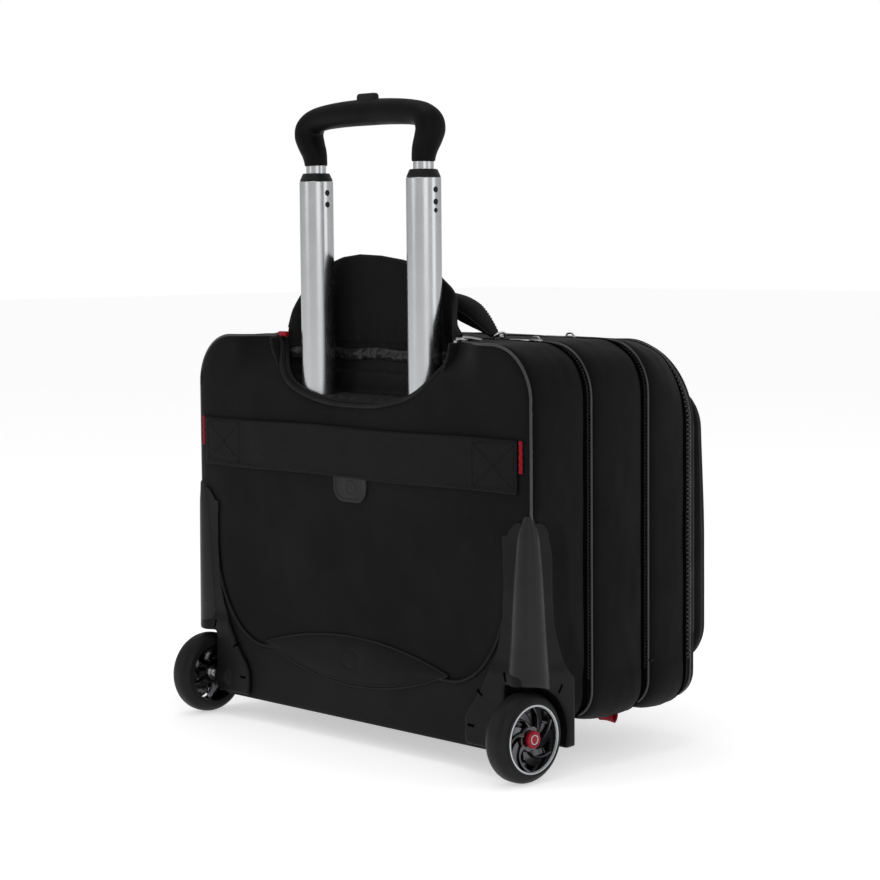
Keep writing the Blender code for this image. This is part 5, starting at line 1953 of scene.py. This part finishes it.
def lamp(name, place, target, size, power, tall=None):
    """An oblong area light that points at target."""
    data = bpy.data.lights.new(name, "AREA")
    data.energy = power
    data.shape = "RECTANGLE"
    data.size = size
    data.size_y = tall or size
    obj = bpy.data.objects.new(name, data)
    obj.location = place
    obj.rotation_euler = (Vector(target) - Vector(place)).to_track_quat("-Z", "Y").to_euler()
    bpy.context.scene.collection.objects.link(obj)


CAMERA_PLACE = (-1.5257, 1.4346, 0.4476)
CAMERA_YAW = 46.617
CAMERA_PITCH = 4.925
CAMERA_ROLL = -0.475
CAMERA_LENS = 93.56
FLOOR_GLOW = 0.50                           # emission of the white floor
WORLD_LIGHT = 0.52                          # strength of the white world, as light and as backdrop
WORLD_SEEN = 1.0


def make_stage():
    """A white floor and world, four lamps and the camera."""
    deselect()
    bpy.ops.mesh.primitive_plane_add(size=30, location=(0, 0, -0.0005))
    floor = bpy.context.object
    floor.name = "studio_floor"
    graph = Graph("studio_floor")
    cloudy = graph.noise(graph.place(), 0.8, 2.0)
    graph.set("Base Color", graph.mix(cloudy, (0.86, 0.86, 0.86, 1), (0.90, 0.90, 0.90, 1)))
    graph.set("Roughness", 0.9)
    graph.set("Emission Color", (1, 1, 1, 1))
    graph.set("Emission Strength", FLOOR_GLOW)
    floor.data.materials.append(graph.material)
    world = bpy.data.worlds.new("studio")
    world.use_nodes = True
    world.node_tree.nodes["Background"].inputs["Color"].default_value = (1, 1, 1, 1)
    tree = world.node_tree
    rays = tree.nodes.new("ShaderNodeLightPath")
    level = tree.nodes.new("ShaderNodeMapRange")
    level.inputs["To Min"].default_value = WORLD_LIGHT
    level.inputs["To Max"].default_value = WORLD_SEEN
    tree.links.new(rays.outputs["Is Camera Ray"], level.inputs["Value"])
    tree.links.new(level.outputs[0], tree.nodes["Background"].inputs["Strength"])
    bpy.context.scene.world = world
    target = (0, 0, 0.28)
    lamp("key", (-1.9, 1.1, 1.2), target, 1.1, 7, 1.6)
    lamp("rim", (0.9, 2.2, 1.3), target, 0.9, 6, 1.6)
    lamp("side", (-2.2, -0.9, 0.9), target, 0.9, 4, 1.4)
    lamp("top", (0, 0.2, 2.4), target, 1.4, 8)
    data = bpy.data.cameras.new("camera")
    data.lens = CAMERA_LENS
    data.sensor_width = 36
    data.clip_start = 0.01
    data.clip_end = 100
    camera = bpy.data.objects.new("camera", data)
    yaw = math.radians(CAMERA_YAW)
    pitch = math.radians(CAMERA_PITCH)
    ahead = Vector((math.sin(yaw) * math.cos(pitch), -math.cos(yaw) * math.cos(pitch), -math.sin(pitch)))
    turn = ahead.to_track_quat("-Z", "Y").to_matrix() @ Matrix.Rotation(math.radians(CAMERA_ROLL), 3, "Z")
    camera.location = CAMERA_PLACE
    camera.rotation_euler = turn.to_euler()
    bpy.context.scene.collection.objects.link(camera)
    bpy.context.scene.camera = camera
    bpy.context.scene.view_settings.view_transform = "Standard"


# ---------------- add-on


class CASE_OT_finishes(bpy.types.Operator):
    """Makes every material that the pieces use."""
    bl_idname = "case.finishes"
    bl_label = "Finishes"

    def execute(self, context):
        finishes()
        return {"FINISHED"}


class CASE_OT_back_panel(bpy.types.Operator):
    """Makes the padded back with its piping and stitches."""
    bl_idname = "case.back_panel"
    bl_label = "Back panel"

    def execute(self, context):
        make_back_panel()
        return {"FINISHED"}


class CASE_OT_scoop_edge(bpy.types.Operator):
    """Makes the bound edge round the trolley recess, its zip and pull."""
    bl_idname = "case.scoop_edge"
    bl_label = "Recess edge"

    def execute(self, context):
        make_scoop_edge()
        return {"FINISHED"}


class CASE_OT_sections(bpy.types.Operator):
    """Makes the cloth sides and inner walls of the three sections."""
    bl_idname = "case.sections"
    bl_label = "Sections"

    def execute(self, context):
        make_sections()
        return {"FINISHED"}


class CASE_OT_zips(bpy.types.Operator):
    """Makes the zip teeth, tapes and seam piping."""
    bl_idname = "case.zips"
    bl_label = "Zips"

    def execute(self, context):
        make_zips()
        return {"FINISHED"}


class CASE_OT_sliders(bpy.types.Operator):
    """Makes the sliders and their pulls."""
    bl_idname = "case.sliders"
    bl_label = "Zip sliders"

    def execute(self, context):
        make_sliders()
        return {"FINISHED"}


class CASE_OT_front(bpy.types.Operator):
    """Makes the front cover and the pocket on it."""
    bl_idname = "case.front"
    bl_label = "Front"

    def execute(self, context):
        make_front()
        return {"FINISHED"}


class CASE_OT_strap(bpy.types.Operator):
    """Makes the luggage strap, its stitches and its rubber patch."""
    bl_idname = "case.strap"
    bl_label = "Luggage strap"

    def execute(self, context):
        make_strap()
        return {"FINISHED"}


class CASE_OT_tabs(bpy.types.Operator):
    """Makes the webbing tabs at the side seams and under the case."""
    bl_idname = "case.tabs"
    bl_label = "Red tabs"

    def execute(self, context):
        make_tabs()
        return {"FINISHED"}


class CASE_OT_base(bpy.types.Operator):
    """Makes the base tray and the pad that the case is lifted by."""
    bl_idname = "case.base"
    bl_label = "Base"

    def execute(self, context):
        make_base()
        return {"FINISHED"}


class CASE_OT_foot(bpy.types.Operator):
    """Makes the rubber foot under the front."""
    bl_idname = "case.foot"
    bl_label = "Front foot"

    def execute(self, context):
        make_foot()
        return {"FINISHED"}


class CASE_OT_guards(bpy.types.Operator):
    """Makes the moulded corner guards."""
    bl_idname = "case.guards"
    bl_label = "Wheel guards"

    def execute(self, context):
        make_guards()
        return {"FINISHED"}


class CASE_OT_wheels(bpy.types.Operator):
    """Makes the tyres, rims, bearings and hub caps."""
    bl_idname = "case.wheels"
    bl_label = "Wheels"

    def execute(self, context):
        make_wheels()
        return {"FINISHED"}


class CASE_OT_tubes(bpy.types.Operator):
    """Makes the sliding tubes, their collars and lock sockets."""
    bl_idname = "case.tubes"
    bl_label = "Trolley tubes"

    def execute(self, context):
        make_tubes()
        return {"FINISHED"}


class CASE_OT_grip(bpy.types.Operator):
    """Makes the grip and its release button."""
    bl_idname = "case.grip"
    bl_label = "Trolley grip"

    def execute(self, context):
        make_grip()
        return {"FINISHED"}


class CASE_OT_well(bpy.types.Operator):
    """Makes the lining of the trolley recess."""
    bl_idname = "case.well"
    bl_label = "Recess lining"

    def execute(self, context):
        make_well()
        return {"FINISHED"}


class CASE_OT_flap(bpy.types.Operator):
    """Makes the gathered flap behind the tubes and its hem."""
    bl_idname = "case.flap"
    bl_label = "Grip cover"

    def execute(self, context):
        make_flap()
        return {"FINISHED"}


class CASE_OT_handle(bpy.types.Operator):
    """Makes the padded carry handle and its anchors."""
    bl_idname = "case.handle"
    bl_label = "Carry handle"

    def execute(self, context):
        make_handle()
        return {"FINISHED"}


class CASE_OT_frame_parts(bpy.types.Operator):
    """Gives the frame's own visible parts their materials."""
    bl_idname = "case.frame_parts"
    bl_label = "Frame parts"

    def execute(self, context):
        dress_frame()
        return {"FINISHED"}


class CASE_OT_stage(bpy.types.Operator):
    """Makes the floor, the lights and the camera."""
    bl_idname = "case.stage"
    bl_label = "Stage"

    def execute(self, context):
        make_stage()
        return {"FINISHED"}


OPERATORS = (CASE_OT_finishes, CASE_OT_back_panel, CASE_OT_scoop_edge, CASE_OT_sections, CASE_OT_zips,
             CASE_OT_sliders, CASE_OT_front, CASE_OT_strap, CASE_OT_tabs, CASE_OT_base, CASE_OT_foot,
             CASE_OT_guards, CASE_OT_wheels, CASE_OT_tubes, CASE_OT_grip, CASE_OT_well, CASE_OT_flap,
             CASE_OT_handle, CASE_OT_frame_parts, CASE_OT_stage)


class CASE_PT_pieces(bpy.types.Panel):
    """Lists the sizes, the colours and one button for each group of pieces."""
    bl_idname = "CASE_PT_pieces"
    bl_label = "Laptop case"
    bl_space_type = "VIEW_3D"
    bl_region_type = "UI"
    bl_category = "Laptop case"

    def draw(self, context):
        scene = context.scene
        groups = ((scene.case_cloth, "Cloth"), (scene.case_hard, "Hard parts"),
                  (scene.case_colours, "Colours"))
        for group, word in groups:
            box = self.layout.box()
            box.label(text=word)
            for key in group.bl_rna.properties.keys():
                if key not in ("rna_type", "name"):
                    box.prop(group, key)
        column = self.layout.column(align=True)
        for operator in OPERATORS:
            column.operator(operator.bl_idname)


GROUPS = (("case_cloth", ClothSizes), ("case_hard", HardSizes), ("case_colours", Colours))


def register():
    for attribute, group in GROUPS:
        bpy.utils.register_class(group)
        setattr(bpy.types.Scene, attribute, PointerProperty(type=group))
    for operator in OPERATORS:
        bpy.utils.register_class(operator)
    bpy.utils.register_class(CASE_PT_pieces)


def unregister():
    bpy.utils.unregister_class(CASE_PT_pieces)
    for operator in reversed(OPERATORS):
        bpy.utils.unregister_class(operator)
    for attribute, group in reversed(GROUPS):
        delattr(bpy.types.Scene, attribute)
        bpy.utils.unregister_class(group)


def main():
    register()
    deselect()
    for operator in OPERATORS:
        result = getattr(bpy.ops.case, operator.bl_idname.split(".")[1])()
        if result != {"FINISHED"}:
            raise RuntimeError(operator.bl_label + " did not finish")


if __name__ == "__main__":
    main()
